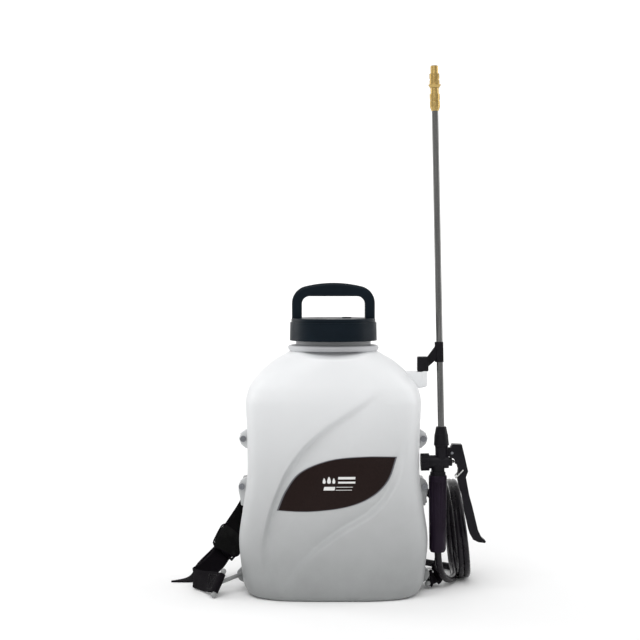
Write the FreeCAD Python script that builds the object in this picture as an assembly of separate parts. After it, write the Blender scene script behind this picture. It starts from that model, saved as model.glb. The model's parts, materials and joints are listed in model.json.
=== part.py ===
"""Battery backpack sprayer: blow-moulded tank, screw lid, trigger lance, coiled hose, harness and pump unit.

Millimetres, +Z up. The origin is the centre of the tank's flat base. The front of the tank faces -Y and the
wearer's back is on the +Y side. The lance hangs on the +X side.
"""
import FreeCAD, Part
import math
import os

V = FreeCAD.Vector
X_AXIS = V(1, 0, 0)
Y_AXIS = V(0, 1, 0)
Z_AXIS = V(0, 0, 1)

# ---- tank ----
WALL = 3.0
TANK_TOP = 361.5
PLAN_POWER = 3.4
RELIEF_DEPTH = 4.0
LABEL_THICKNESS = 0.6
COLLAR_R = 68.0
COLLAR_TOP = 370.0
NECK_R = 56.0
NECK_BORE_R = 50.0
NECK_TOP = 400.0
THREAD_PITCH = 8.0
TAB_R = 17.0
TAB_X = 126.0
TAB_HALF_THICK = 5.0
SCREW_HOLE_R = 2.3
UPPER_TAB = {"z": 229.0, "screw_x": 135.3, "screw_z": 229.0, "bar_x": 130.5}
LOWER_TAB = {"z": 151.0, "screw_x": 137.5, "screw_z": 157.0, "bar_x": 134.5}
LUG_X = 139.0
LUG_Y = 0.0
LUG_Z = 25.0
LUG_R = 6.5
LUG_HOLE_R = 3.5

# ---- lid ----
LID_BOTTOM = 377.0
LID_TOP = 410.0
SKIRT_R = 65.4
SKIRT_TOP_R = 64.7
SKIRT_BORE_R = 60.5
FLANGE_R = 63.0
FLANGE_LOW = 404.0
HANDLE_HALF = 62.0
HANDLE_CORNER_R = 26.0
HANDLE_CROWN_R = 175.0
HANDLE_TOP = 463.0
HANDLE_GAP_TOP = 443.0
HANDLE_GAP_HALF = 47.2
HANDLE_HALF_DEPTH = 13.0
STRAINER_TOP = 401.5
GASKET_TOP = 403.5
LID_CEILING = 403.8

# ---- rear pump and battery unit ----
UNIT_HALF = 92.0
UNIT_FRONT = 42.0
UNIT_REAR = 116.0
UNIT_TOP = 134.0
UNIT_WALL = 3.0
RECESS_GAP = 1.0
DIVIDER_X = 2.0
PUMP_X = 60.0
PUMP_Y = 78.0
OUTLET_Z = 16.0
OUTLET_Y = 148.0
OUTLET_END_X = 84.0
ELBOW_R = 12.0
BATTERY = {"x0": -87.5, "x1": 0.5, "y0": 50.0, "y1": 118.0, "z0": 5.5, "z1": 122.0}

# ---- lance and trigger valve, in a frame tilted about Y at the lance nut ----
LANCE_ORIGIN = V(161.0, -12.0, 250.0)
LANCE_TILT = 1.25
TUBE_R = 4.9
TUBE_BORE_R = 3.9
TUBE_LOW = -14.3
TUBE_HIGH = 470.0
BRANCH_Z = -54.5
PIVOT = V(15.0, 0, -41.0)
LEVER_HALF_WIDTH = 8.0
CHEEK = 2.6
BAIL_PIVOT = V(30.5, 0, -67.0)
BAIL_REACH = 15.0
GRIP_X = 156.4
GRIP_TOP = -74.8
GRIP_LOW = -190.0
HOSE_START = -172.0

# ---- hose ----
HOSE_R = 5.25
HOSE_BORE_R = 3.5
COIL_CENTRE = V(192.5, 81.0, 79.9)
COIL_R = 78.0
COIL_INNER_R = 62.0
COIL_HALF_WIDTH = 18.6
COIL_LEAN = 4.3
HOSE_LEAD = [
    V(156.4, -12.0, 78.04), V(156.6, -12.0, 47.5), V(162.8, -0.5, 24.0), V(173.5, 20.5, 10.5), V(184.0, 46.0, 5.6),
    V(188.0, 65.0, 5.6),
]
HOSE_TAIL = [
    V(209.0, 66.0, 5.6), V(209.0, 116.0, 5.6), V(177.0, 148.0, 5.6), V(130.0, 148.0, 13.0), V(104.0, 148.0, 16.0),
    V(84.0, 148.0, 16.0),
]

# ---- harness ----
PAD_WIDTH = 42.0
PAD_THICK = 5.0
WEB_WIDTH = 30.0
WEB_THICK = 2.4


def cylinder(radius, low, high, x=0.0, y=0.0):
    return Part.makeCylinder(radius, high - low, V(x, y, low))


def rod(radius, start, end):
    return Part.makeCylinder(radius, (end - start).Length, start, end - start)


def tube(outer, inner, low, high, x=0.0, y=0.0):
    return cylinder(outer, low, high, x, y).cut(cylinder(inner, low - 1, high + 1, x, y))


def block(x0, x1, y0, y1, z0, z1):
    return Part.makeBox(x1 - x0, y1 - y0, z1 - z0, V(x0, y0, z0))


def soft_block(x0, x1, y0, y1, z0, z1, radius):
    solid = block(x0, x1, y0, y1, z0, z1)
    return solid.makeFillet(radius, solid.Edges)


def upright_soft_block(x0, x1, y0, y1, z0, z1, radius):
    """Block whose four vertical edges are rounded."""
    solid = block(x0, x1, y0, y1, z0, z1)
    edges = [edge for edge in solid.Edges if abs(edge.tangentAt(edge.FirstParameter).z) > 0.9]
    return solid.makeFillet(radius, edges)


def turned(profile):
    """Solid of revolution about Z from (radius, height) points."""
    points = [V(radius, 0, height) for radius, height in profile]
    face = Part.Face(Part.makePolygon(points + points[:1]))
    return face.revolve(V(0, 0, 0), Z_AXIS, 360)


def prism(points, along):
    return Part.Face(Part.makePolygon(points + points[:1])).extrude(along)


def fuse_all(shapes):
    result = shapes[0]
    for shape in shapes[1:]:
        result = result.fuse(shape)
    return result.removeSplitter()


# ---------------------------------------------------------------- tank

# (height, half width, half depth, squareness of the plan)
TANK_SECTIONS = [
    (0.0, 106.0, 62.0, PLAN_POWER), (3.0, 115.0, 70.0, PLAN_POWER), (9.0, 124.0, 76.0, PLAN_POWER),
    (20.0, 131.5, 80.5, PLAN_POWER), (40.0, 137.5, 83.5, PLAN_POWER), (79.0, 141.0, 85.0, PLAN_POWER),
    (130.0, 134.8, 85.0, PLAN_POWER), (188.0, 128.3, 84.5, PLAN_POWER), (240.0, 129.0, 84.5, PLAN_POWER),
    (285.0, 131.0, 84.5, PLAN_POWER), (306.0, 126.5, 82.0, 3.2), (328.0, 111.0, 77.0, 2.8),
    (347.5, 89.0, 72.0, 2.3), (357.0, 72.5, 69.0, 2.05), (TANK_TOP, 65.0, 65.0, 2.0),
]
SECTION_POINTS = 36

# front relief, as (x, z): the edges of the recessed diagonal band and of the leaf-shaped label in it
BAND_UPPER = [(84, 316), (40, 285), (-19, 245), (-57, 205), (-84, 152), (-99, 99), (-101, 62)]
BAND_LOWER = [(-67, 24), (-44, 59), (2, 97), (53, 129), (82, 162), (101, 209), (112, 268)]
LEAF_TOP = [(-83, 132), (-70, 162), (-48, 189), (-5, 206.5), (47, 211.5), (92, 210.5)]
LEAF_LOW = [(92, 210.5), (80, 176), (56, 152.5), (20, 138), (-30, 131.5), (-83, 132)]


def plan_wire(height, half_x, half_y, power):
    """Closed superellipse at a height."""
    points = []
    for step in range(SECTION_POINTS):
        angle = 2 * math.pi * step / SECTION_POINTS
        cosine, sine = math.cos(angle), math.sin(angle)
        x = math.copysign(abs(cosine) ** (2 / power), cosine) * half_x
        y = math.copysign(abs(sine) ** (2 / power), sine) * half_y
        points.append(V(x, y, height))
    curve = Part.BSplineCurve()
    curve.interpolate(points, PeriodicFlag=True)
    return Part.Wire(curve.toShape())


def tank_form(inset):
    """Solid body of the tank, or of its cavity when inset by the wall."""
    squeeze = 1 - 2 * inset / TANK_TOP
    wires = []
    for height, half_x, half_y, power in TANK_SECTIONS:
        wires.append(plan_wire(inset + height * squeeze, half_x - inset, half_y - inset, power))
    return Part.makeLoft(wires, True, False)


def curve_edge(points, y):
    curve = Part.BSplineCurve()
    curve.interpolate([V(x, y, z) for x, z in points])
    return curve.toShape()


def front_prism(upper, lower):
    """Prism through the tank's front half, between two curves drawn on the front."""
    y_front = -130.0
    first = curve_edge(upper, y_front)
    second = curve_edge(lower, y_front)
    edges = [first]
    if (first.lastVertex().Point - second.firstVertex().Point).Length > 0.01:
        edges.append(Part.makeLine(first.lastVertex().Point, second.firstVertex().Point))
    edges.append(second)
    if (second.lastVertex().Point - first.firstVertex().Point).Length > 0.01:
        edges.append(Part.makeLine(second.lastVertex().Point, first.firstVertex().Point))
    return Part.Face(Part.Wire(edges)).extrude(V(0, 100, 0))


def moved_back(shape, depth):
    copy = shape.copy()
    copy.translate(V(0, depth, 0))
    return copy


def grown(points, dx, dz):
    return [(x + dx, z + dz) for x, z in points]


def thread_ridge(root_r, crest_r, start, turns, half_root, half_crest):
    """Helical ridge: outward when the crest is larger than the root."""
    helix = Part.makeHelix(THREAD_PITCH, THREAD_PITCH * turns, root_r)
    buried = root_r - math.copysign(0.6, crest_r - root_r)
    profile = Part.makePolygon([
        V(buried, 0, -half_root), V(crest_r, 0, -half_crest), V(crest_r, 0, half_crest), V(buried, 0, half_root),
        V(buried, 0, -half_root),
    ])
    ridge = Part.Wire(helix).makePipeShell([profile], True, True)
    ridge.translate(V(0, 0, start))
    return ridge


def unit_recess(gap):
    """Space in the tank's lower rear that the pump and battery unit fills."""
    return block(-UNIT_HALF - gap, UNIT_HALF + gap, UNIT_FRONT - gap, 200, -20, UNIT_TOP + gap)


def side_tab(side, tab):
    disc = rod(TAB_R, V(side * TAB_X, -TAB_HALF_THICK, tab["z"]), V(side * TAB_X, TAB_HALF_THICK, tab["z"]))
    return disc


def screw_hole(side, tab):
    x = side * tab["screw_x"]
    return rod(SCREW_HOLE_R, V(x, -30, tab["screw_z"]), V(x, 30, tab["screw_z"]))


def strap_lug(side):
    ear = rod(LUG_R, V(side * LUG_X, LUG_Y - 3, LUG_Z), V(side * LUG_X, LUG_Y + 3, LUG_Z))
    root_x = sorted([side * 127.0, side * LUG_X])
    neck = block(root_x[0], root_x[1], LUG_Y - 3, LUG_Y + 3, LUG_Z - LUG_R, LUG_Z + LUG_R)
    return ear.fuse(neck)


def strap_lug_hole(side):
    return rod(LUG_HOLE_R, V(side * LUG_X, LUG_Y - 9, LUG_Z), V(side * LUG_X, LUG_Y + 9, LUG_Z))


def lance_lug():
    """L-shaped lug on the shoulder that carries the lance clip's peg."""
    shelf = soft_block(104, 138.5, -21, -3, 307, 331, 2.5)
    return shelf


CLIP_PEG_X = 131.0
CLIP_PEG_R = 4.0
CLIP_PEG_LOW = 316.0


def tank_cavity():
    cavity = tank_form(WALL)
    wide_band = front_prism(grown(BAND_UPPER, -2, 3), grown(BAND_LOWER, 2, -3))
    cavity = cavity.cut(wide_band.cut(moved_back(cavity, RELIEF_DEPTH)))
    return cavity.cut(unit_recess(RECESS_GAP + WALL))


def tank_additions():
    """What stands out of the blown form: collar, threaded neck, tabs and lugs."""
    neck = cylinder(COLLAR_R, TANK_TOP - 4, COLLAR_TOP).fuse(cylinder(NECK_R, COLLAR_TOP, NECK_TOP))
    neck = neck.fuse(thread_ridge(NECK_R, NECK_R + 2.6, 378.0, 1.5, 1.6, 1.0))
    neck = neck.cut(cylinder(NECK_BORE_R, TANK_TOP - 20, NECK_TOP + 1))
    lug = lance_lug().cut(cylinder(CLIP_PEG_R, CLIP_PEG_LOW, 332, CLIP_PEG_X, LANCE_ORIGIN.y))
    additions = [neck, lug]
    for side in (-1, 1):
        additions.append(side_tab(side, UPPER_TAB).cut(screw_hole(side, UPPER_TAB)))
        additions.append(side_tab(side, LOWER_TAB).cut(screw_hole(side, LOWER_TAB)))
        additions.append(strap_lug(side).cut(strap_lug_hole(side)))
    return additions


def tank_shell():
    outer = tank_form(0)
    band = front_prism(BAND_UPPER, BAND_LOWER)
    outer = outer.cut(band.cut(moved_back(outer, RELIEF_DEPTH)))
    cavity = tank_cavity()
    shell = outer.cut(cavity).cut(unit_recess(RECESS_GAP))
    shell = shell.cut(cylinder(NECK_BORE_R, TANK_TOP - 20, NECK_TOP + 1))
    z = OUTLET_Z + 6
    shell = shell.cut(rod(6.0, V(PUMP_X, UNIT_FRONT - 12, z), V(PUMP_X, UNIT_FRONT + 5, z)))
    for addition in tank_additions():
        shell = shell.fuse(addition.cut(cavity))
    return shell


def front_label():
    form = tank_form(0)
    leaf = front_prism(LEAF_TOP, LEAF_LOW)
    face = moved_back(form, RELIEF_DEPTH - LABEL_THICKNESS)
    back = moved_back(form, RELIEF_DEPTH)
    return leaf.common(face).cut(back)


# ---------------------------------------------------------------- lid

def handle_arch():
    """Carrying handle standing on the lid: straight legs, round corners and a slightly arched crown."""
    base = FLANGE_LOW + 3
    corner_x = HANDLE_HALF - HANDLE_CORNER_R
    reach = HANDLE_CROWN_R - HANDLE_CORNER_R
    rise = math.sqrt(reach ** 2 - corner_x ** 2)
    corner_z = HANDLE_TOP - HANDLE_CROWN_R + rise
    join_x = corner_x * HANDLE_CROWN_R / reach
    join_z = HANDLE_TOP - HANDLE_CROWN_R + rise * HANDLE_CROWN_R / reach
    half_turn = math.atan2(rise, corner_x) / 2
    middle_x = corner_x + HANDLE_CORNER_R * math.cos(half_turn)
    middle_z = corner_z + HANDLE_CORNER_R * math.sin(half_turn)
    outer = Part.Wire([
        Part.makeLine(V(-HANDLE_HALF, 0, base), V(-HANDLE_HALF, 0, corner_z)),
        Part.Arc(V(-HANDLE_HALF, 0, corner_z), V(-middle_x, 0, middle_z), V(-join_x, 0, join_z)).toShape(),
        Part.Arc(V(-join_x, 0, join_z), V(0, 0, HANDLE_TOP), V(join_x, 0, join_z)).toShape(),
        Part.Arc(V(join_x, 0, join_z), V(middle_x, 0, middle_z), V(HANDLE_HALF, 0, corner_z)).toShape(),
        Part.makeLine(V(HANDLE_HALF, 0, corner_z), V(HANDLE_HALF, 0, base)),
        Part.makeLine(V(HANDLE_HALF, 0, base), V(-HANDLE_HALF, 0, base)),
    ])
    slab = Part.Face(outer).extrude(V(0, 2 * HANDLE_HALF_DEPTH, 0))
    slab.translate(V(0, -HANDLE_HALF_DEPTH, 0))
    round_off = [edge for edge in slab.Edges if edge.BoundBox.ZMax > base + 1 and edge.BoundBox.YLength < 1]
    slab = slab.makeFillet(4.0, round_off)
    gap = block(-HANDLE_GAP_HALF, HANDLE_GAP_HALF, -20, 20, LID_TOP, HANDLE_GAP_TOP)
    corners = [edge for edge in gap.Edges if edge.BoundBox.YLength > 30 and edge.BoundBox.ZMin > LID_TOP + 1]
    gap = gap.makeFillet(12.0, corners)
    return slab.cut(gap)


def lid_cap():
    skirt = turned([
        (0, LID_CEILING), (SKIRT_BORE_R, LID_CEILING), (SKIRT_BORE_R, LID_BOTTOM), (SKIRT_R, LID_BOTTOM),
        (SKIRT_TOP_R, FLANGE_LOW), (FLANGE_R, FLANGE_LOW), (FLANGE_R, LID_TOP - 1.5), (FLANGE_R - 1.5, LID_TOP),
        (0, LID_TOP),
    ])
    ridge = thread_ridge(SKIRT_BORE_R, SKIRT_BORE_R - 3.0, 382.0, 1.25, 1.6, 1.0)
    lid = skirt.fuse(handle_arch()).fuse(ridge)
    vent_bore = cylinder(4.0, LID_CEILING - 1, LID_TOP + 1, 20)
    return lid.cut(vent_bore).removeSplitter()


def vent_valve():
    """Umbrella valve that lets air in as the tank empties."""
    stem = cylinder(4.0, LID_CEILING, LID_TOP, 20)
    crown = cylinder(7.0, LID_TOP, LID_TOP + 1.8, 20)
    return stem.fuse(crown).cut(cylinder(1.2, LID_CEILING - 1, LID_TOP + 3, 20))


def strainer_basket():
    """Filling strainer: flange on the neck rim and a slotted cup."""
    cup = turned([
        (0, 341), (44, 341), (48.5, NECK_TOP), (NECK_R, NECK_TOP), (NECK_R, STRAINER_TOP), (46.5, STRAINER_TOP),
        (42, 343.5), (0, 343.5),
    ])
    slots = []
    for number in range(12):
        slot = block(30, 60, -3.5, 3.5, 350, 392)
        slot.rotate(V(0, 0, 0), Z_AXIS, number * 30)
        slots.append(slot)
    for number in range(-3, 4):
        half = math.sqrt(36 ** 2 - (number * 10) ** 2)
        slots.append(block(number * 10 - 2.5, number * 10 + 2.5, -half, half, 339, 345))
    return cup.cut(Part.makeCompound(slots))


def lid_gasket():
    return tube(NECK_R + 1.5, NECK_BORE_R, STRAINER_TOP, GASKET_TOP)


# ---------------------------------------------------------------- side screws and back frame

def side_screws():
    """Four pan-head screws through the tank's side tabs, tapped into the ears of the back frame."""
    solids = []
    for side in (-1, 1):
        for tab in (UPPER_TAB, LOWER_TAB):
            x, z = side * tab["screw_x"], tab["screw_z"]
            shank = rod(2.0, V(x, -TAB_HALF_THICK - 1, z), V(x, 8.6, z))
            head = rod(4.6, V(x, -TAB_HALF_THICK - 3.2, z), V(x, -TAB_HALF_THICK, z))
            cross = block(x - 2.6, x + 2.6, -9, -TAB_HALF_THICK - 1.8, z - 0.5, z + 0.5)
            cross = cross.fuse(block(x - 0.5, x + 0.5, -9, -TAB_HALF_THICK - 1.8, z - 2.6, z + 2.6))
            solids.append(head.cut(cross).fuse(shank))
    return Part.makeCompound(solids)


FRAME_FRONT = 86.6
FRAME_REAR = 90.6
FRAME_HALF = 96.0
FRAME_LOW = 140.0
FRAME_TOP = 330.0
STRAP_SLOT_X = 45.0
STRAP_SLOT_Z = 312.0
EAR_END = 140.0
EAR_HALF_HEIGHT = 7.5


def frame_ear(side, tab):
    """Bar from the back frame round the tank to the rear of a side tab."""
    bar = tab["bar_x"]
    outline = [
        (bar, 5.0), (EAR_END, 5.0), (EAR_END, 8.8), (bar + 3.5, 8.8), (bar + 3.5, 56.0), (FRAME_HALF + 1.5, FRAME_REAR),
        (FRAME_HALF - 3, FRAME_REAR), (FRAME_HALF - 3, FRAME_FRONT), (FRAME_HALF, FRAME_FRONT), (bar, 54.0),
    ]
    low = tab["screw_z"] - EAR_HALF_HEIGHT
    ear = prism([V(side * x, y, low) for x, y in outline], V(0, 0, 2 * EAR_HALF_HEIGHT))
    return ear.cut(screw_hole(side, tab))


def back_frame():
    """Moulded back plate with strap slots and ribs, held to the tank by four ears."""
    plate = block(-FRAME_HALF, FRAME_HALF, FRAME_FRONT, FRAME_REAR, FRAME_LOW, FRAME_TOP)
    corners = [edge for edge in plate.Edges if abs(edge.tangentAt(edge.FirstParameter).y) > 0.9]
    plate = plate.makeFillet(18, corners)
    parts = [plate]
    for x in (-60, -20, 20, 60):
        parts.append(soft_block(x - 5, x + 5, FRAME_REAR - 3, FRAME_REAR + 5, FRAME_LOW + 30, STRAP_SLOT_Z - 26, 2.4))
    for side in (-1, 1):
        parts.append(frame_ear(side, UPPER_TAB))
        parts.append(frame_ear(side, LOWER_TAB))
    frame = parts[0].fuse(parts[1:])
    for side in (-1, 1):
        x = side * STRAP_SLOT_X
        frame = frame.cut(block(x - 25, x + 25, FRAME_FRONT - 5, FRAME_REAR + 5, STRAP_SLOT_Z - 5, STRAP_SLOT_Z + 5))
    return frame.removeSplitter()


# ---------------------------------------------------------------- pump and battery unit

COVER_SCREWS = [(10.0, 8.0), (84.0, 60.0), (10.0, 126.0), (84.0, 126.0)]
COVER_INNER = UNIT_REAR - 3.0
SWITCH_X = 68.0
SWITCH_Z = 104.0
SWITCH_PIVOT_Y = 113.0
SWITCH_PIN_R = 1.6
JACK_X = 30.0


def unit_housing():
    """Moulded housing: battery bay open to the rear, and pump bay closed by a cover."""
    shell = upright_soft_block(-UNIT_HALF, UNIT_HALF, UNIT_FRONT, UNIT_REAR, 0, UNIT_TOP, 6)
    low, high = UNIT_WALL, UNIT_TOP - UNIT_WALL
    battery_bay = block(-UNIT_HALF + 3, DIVIDER_X, UNIT_FRONT + 3, UNIT_REAR + 5, low, high)
    pump_bay = block(DIVIDER_X + 3, UNIT_HALF - 3, UNIT_FRONT + 3, UNIT_REAR + 5, low, high)
    shell = shell.cut(battery_bay).cut(pump_bay)
    bosses = []
    for x, z in COVER_SCREWS:
        boss = rod(4.0, V(x, UNIT_FRONT + 2, z), V(x, COVER_INNER, z))
        bosses.append(boss)
    shell = shell.fuse(bosses)
    for x, z in COVER_SCREWS:
        shell = shell.cut(rod(1.3, V(x, COVER_INNER - 14, z), V(x, UNIT_REAR + 5, z)))
    suction = rod(6.0, V(PUMP_X, UNIT_FRONT - 5, OUTLET_Z + 6), V(PUMP_X, UNIT_FRONT + 9, OUTLET_Z + 6))
    return shell.cut(suction).removeSplitter()


def pump_cover():
    plate = block(DIVIDER_X + 3.2, UNIT_HALF - 3.2, COVER_INNER, UNIT_REAR, UNIT_WALL + 0.2, UNIT_TOP - UNIT_WALL - 0.2)
    for x, z in COVER_SCREWS:
        plate = plate.cut(rod(1.8, V(x, COVER_INNER - 1, z), V(x, UNIT_REAR + 1, z)))
    plate = plate.cut(rod(6.3, V(PUMP_X, COVER_INNER - 1, OUTLET_Z), V(PUMP_X, UNIT_REAR + 1, OUTLET_Z)))
    plate = plate.cut(block(SWITCH_X - 10, SWITCH_X + 10, COVER_INNER - 1, UNIT_REAR + 1, SWITCH_Z - 6, SWITCH_Z + 6))
    plate = plate.cut(rod(5.0, V(JACK_X, COVER_INNER - 1, SWITCH_Z), V(JACK_X, UNIT_REAR + 1, SWITCH_Z)))
    return plate


def cover_screws():
    solids = []
    for x, z in COVER_SCREWS:
        shank = rod(1.25, V(x, COVER_INNER - 10, z), V(x, UNIT_REAR + 0.5, z))
        head = rod(3.2, V(x, UNIT_REAR, z), V(x, UNIT_REAR + 2, z))
        drive = block(x - 2, x + 2, UNIT_REAR + 1, UNIT_REAR + 3, z - 0.4, z + 0.4)
        drive = drive.fuse(block(x - 0.4, x + 0.4, UNIT_REAR + 1, UNIT_REAR + 3, z - 2, z + 2))
        solids.append(shank.fuse(head.cut(drive)))
    return Part.makeCompound(solids)


def switch_bezel():
    y0, y1 = COVER_INNER - 10, UNIT_REAR
    body = block(SWITCH_X - 10, SWITCH_X + 10, y0, y1, SWITCH_Z - 6, SWITCH_Z + 6)
    rim = soft_block(SWITCH_X - 12, SWITCH_X + 12, y1, y1 + 2, SWITCH_Z - 8, SWITCH_Z + 8, 0.9)
    window = block(SWITCH_X - 9, SWITCH_X + 9, y1 - 8, y1 + 5, SWITCH_Z - 4.4, SWITCH_Z + 4.4)
    pivot_hole = cylinder(SWITCH_PIN_R + 0.05, SWITCH_Z - 5.4, SWITCH_Z + 5.4, SWITCH_X, SWITCH_PIVOT_Y)
    return body.fuse(rim).cut(window).cut(pivot_hole)


def rocker_switch():
    """Rocker with its front face dished about the pivot, seen in the XY plane, and its pivot pins."""
    y = UNIT_REAR
    outline = [(-7, y - 3), (-3, y - 5.5), (3, y - 5.5), (7, y - 3), (7.2, y + 2.2), (0, y + 0.6), (-7.2, y + 4.2)]
    points = [V(SWITCH_X + dx, py, SWITCH_Z - 4.0) for dx, py in outline]
    pivot = cylinder(SWITCH_PIN_R, SWITCH_Z - 5.2, SWITCH_Z + 5.2, SWITCH_X, SWITCH_PIVOT_Y)
    return prism(points, V(0, 0, 8.0)).fuse(pivot)


def charge_socket():
    body = rod(5.0, V(JACK_X, COVER_INNER - 12, SWITCH_Z), V(JACK_X, UNIT_REAR + 0.5, SWITCH_Z))
    flange = rod(7.0, V(JACK_X, UNIT_REAR, SWITCH_Z), V(JACK_X, UNIT_REAR + 1.6, SWITCH_Z))
    hole = rod(3.0, V(JACK_X, UNIT_REAR - 9, SWITCH_Z), V(JACK_X, UNIT_REAR + 3, SWITCH_Z))
    pin = rod(1.0, V(JACK_X, UNIT_REAR - 10, SWITCH_Z), V(JACK_X, UNIT_REAR - 1, SWITCH_Z))
    return body.fuse(flange).cut(hole).fuse(pin)


HEAD_LOW = 8.0
HEAD_TOP = 50.0
MOTOR_TOP = 112.0
SHAFT_R = 2.0


def pump_head():
    """Diaphragm pump head with inlet face at the front and outlet face at the rear."""
    body = soft_block(PUMP_X - 22, PUMP_X + 22, PUMP_Y - 23, PUMP_Y + 23, HEAD_LOW, HEAD_TOP, 3)
    chamber = cylinder(15.0, 30, HEAD_TOP - 4, PUMP_X, PUMP_Y)
    shaft_hole = cylinder(SHAFT_R + 0.5, HEAD_TOP - 6, HEAD_TOP + 1, PUMP_X, PUMP_Y)
    inlet = rod(3.5, V(PUMP_X, PUMP_Y - 24, OUTLET_Z + 6), V(PUMP_X, PUMP_Y - 4, OUTLET_Z + 6))
    outlet = rod(3.5, V(PUMP_X, PUMP_Y + 4, OUTLET_Z), V(PUMP_X, PUMP_Y + 24, OUTLET_Z))
    return body.cut(chamber).cut(shaft_hole).cut(inlet).cut(outlet)


def pump_motor():
    can = cylinder(18.0, HEAD_TOP, MOTOR_TOP, PUMP_X, PUMP_Y).cut(
        cylinder(SHAFT_R + 0.5, HEAD_TOP - 1, HEAD_TOP + 3, PUMP_X, PUMP_Y))
    rotor_room = cylinder(14.5, HEAD_TOP + 2.5, MOTOR_TOP - 3, PUMP_X, PUMP_Y)
    boss = cylinder(6.0, MOTOR_TOP, MOTOR_TOP + 3, PUMP_X, PUMP_Y)
    return can.cut(rotor_room).fuse(boss)


def motor_rotor():
    """Rotor on its shaft, with the eccentric that works the diaphragms."""
    shaft = cylinder(SHAFT_R, 40, MOTOR_TOP - 3.5, PUMP_X, PUMP_Y)
    core = cylinder(12.5, HEAD_TOP + 10, MOTOR_TOP - 12, PUMP_X, PUMP_Y)
    eccentric = cylinder(6.0, 38, 44, PUMP_X + 2.5, PUMP_Y)
    return shaft.fuse([core, eccentric])


def pump_diaphragm():
    return cylinder(15.0, 30, 33, PUMP_X, PUMP_Y)


def suction_pipe():
    """Pipe from the tank's lowest point to the pump inlet, with a shoulder inside the tank."""
    z = OUTLET_Z + 6
    pipe = rod(6.0, V(PUMP_X, UNIT_FRONT - 10, z), V(PUMP_X, PUMP_Y - 23, z))
    shoulder = rod(9.0, V(PUMP_X, UNIT_FRONT - 10, z), V(PUMP_X, UNIT_FRONT - WALL - RECESS_GAP, z))
    bore = rod(3.5, V(PUMP_X, UNIT_FRONT - 12, z), V(PUMP_X, PUMP_Y, z))
    return pipe.fuse(shoulder).cut(bore)


def outlet_elbow():
    """Bent pipe from the pump outlet through the cover, ending in the hose barb."""
    hub = V(PUMP_X + ELBOW_R, OUTLET_Y - ELBOW_R, OUTLET_Z)
    bend_in = hub - V(ELBOW_R, 0, 0)
    bend_out = hub + V(0, ELBOW_R, 0)
    inlet = V(PUMP_X, PUMP_Y + 23, OUTLET_Z)
    end = V(OUTLET_END_X, OUTLET_Y, OUTLET_Z)

    def run(radius):
        disc = Part.Face(Part.Wire(Part.makeCircle(radius, bend_in, Y_AXIS)))
        return rod(radius, inlet, bend_in).fuse([disc.revolve(hub, Z_AXIS, -90), rod(radius, bend_out, end)])

    collar = rod(8.0, V(PUMP_X, UNIT_REAR, OUTLET_Z), V(PUMP_X, UNIT_REAR + 5, OUTLET_Z))
    return run(6.2).fuse(collar).cut(run(3.3)).removeSplitter()


def battery_case():
    b = BATTERY
    case = block(b["x0"], b["x1"], b["y0"], b["y1"], b["z0"], b["z1"])
    along_y = [edge for edge in case.Edges if edge.BoundBox.YLength > 50]
    case = case.makeFillet(4, along_y)
    room = block(b["x0"] + 3, b["x1"] - 3, b["y0"] + 3, b["y1"] - 9, b["z0"] + 3, b["z1"] - 16)
    pull = block(b["x0"] + 20, b["x1"] - 20, b["y1"] - 6, b["y1"] + 1, 30, 48)
    well = block(-58.0, -29.0, b["y1"] - 7, b["y1"] + 1, 104, 115)
    return case.cut(room).cut(pull).cut(well)


def battery_cells():
    """Twelve cylindrical cells in three rows."""
    b = BATTERY
    cells = []
    for column in range(4):
        for row in range(3):
            x = b["x0"] + 14.5 + 19.6 * column
            y = b["y0"] + 13.5 + 15.9 * row
            cells.append(cylinder(7.6, b["z0"] + 4, b["z0"] + 69, x, y))
    return Part.makeCompound(cells)


def battery_button():
    """Release button in the well of the battery's rear face."""
    return soft_block(-57.6, -29.4, BATTERY["y1"] - 3.0, BATTERY["y1"] + 1.5, 104.4, 114.6, 1.2)


def battery_terminals():
    """Two spring blades on the bay's front wall that meet the battery."""
    blades = []
    for x in (-60.0, -28.0):
        blades.append(block(x - 4, x + 4, UNIT_FRONT + 3, BATTERY["y0"] - 0.4, 20, 34))
    return Part.makeCompound(blades)


# ---------------------------------------------------------------- lance clip

SLEEVE_LOW = 345.0
SLEEVE_HIGH = 375.0
SLEEVE_R = 7.3


def on_lance(shape):
    """Puts a shape drawn along the lance's own axis in its tilted place."""
    placed = shape.copy()
    placed.rotate(V(0, 0, 0), Y_AXIS, -LANCE_TILT)
    placed.translate(LANCE_ORIGIN)
    return placed


def on_grip(shape):
    """Puts a shape drawn along the grip's own axis in its place, upright and beside the lance's axis."""
    placed = shape.copy()
    placed.translate(V(GRIP_X, LANCE_ORIGIN.y, LANCE_ORIGIN.z))
    return placed


def lance_clip():
    """Clip: peg in the tank's lug, block, arm, and a C-shaped sleeve open to the right."""
    y = LANCE_ORIGIN.y
    peg = cylinder(CLIP_PEG_R, CLIP_PEG_LOW + 0.5, 333, CLIP_PEG_X, y)
    head = soft_block(125.0, 141.5, y - 9, y + 9, 331, 353, 2)
    arm = prism(
        [V(139, y - 4, 336), V(139, y - 4, 351), V(155, y - 4, 373), V(155, y - 4, 350)], V(0, 8, 0))
    low, high = SLEEVE_LOW - LANCE_ORIGIN.z, SLEEVE_HIGH - LANCE_ORIGIN.z
    sleeve = on_lance(cylinder(SLEEVE_R, low, high))
    channel = on_lance(cylinder(TUBE_R + 0.12, low - 9, high + 9))
    half = TUBE_R + 0.12
    mouth = on_lance(block(0, 20, -half, half, low - 9, high + 9))
    return peg.fuse([head, arm, sleeve]).cut(channel).cut(mouth).removeSplitter()


# ---------------------------------------------------------------- lance and nozzle

def lance_tube():
    return on_lance(tube(TUBE_R, TUBE_BORE_R, TUBE_LOW, TUBE_HIGH))


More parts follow.
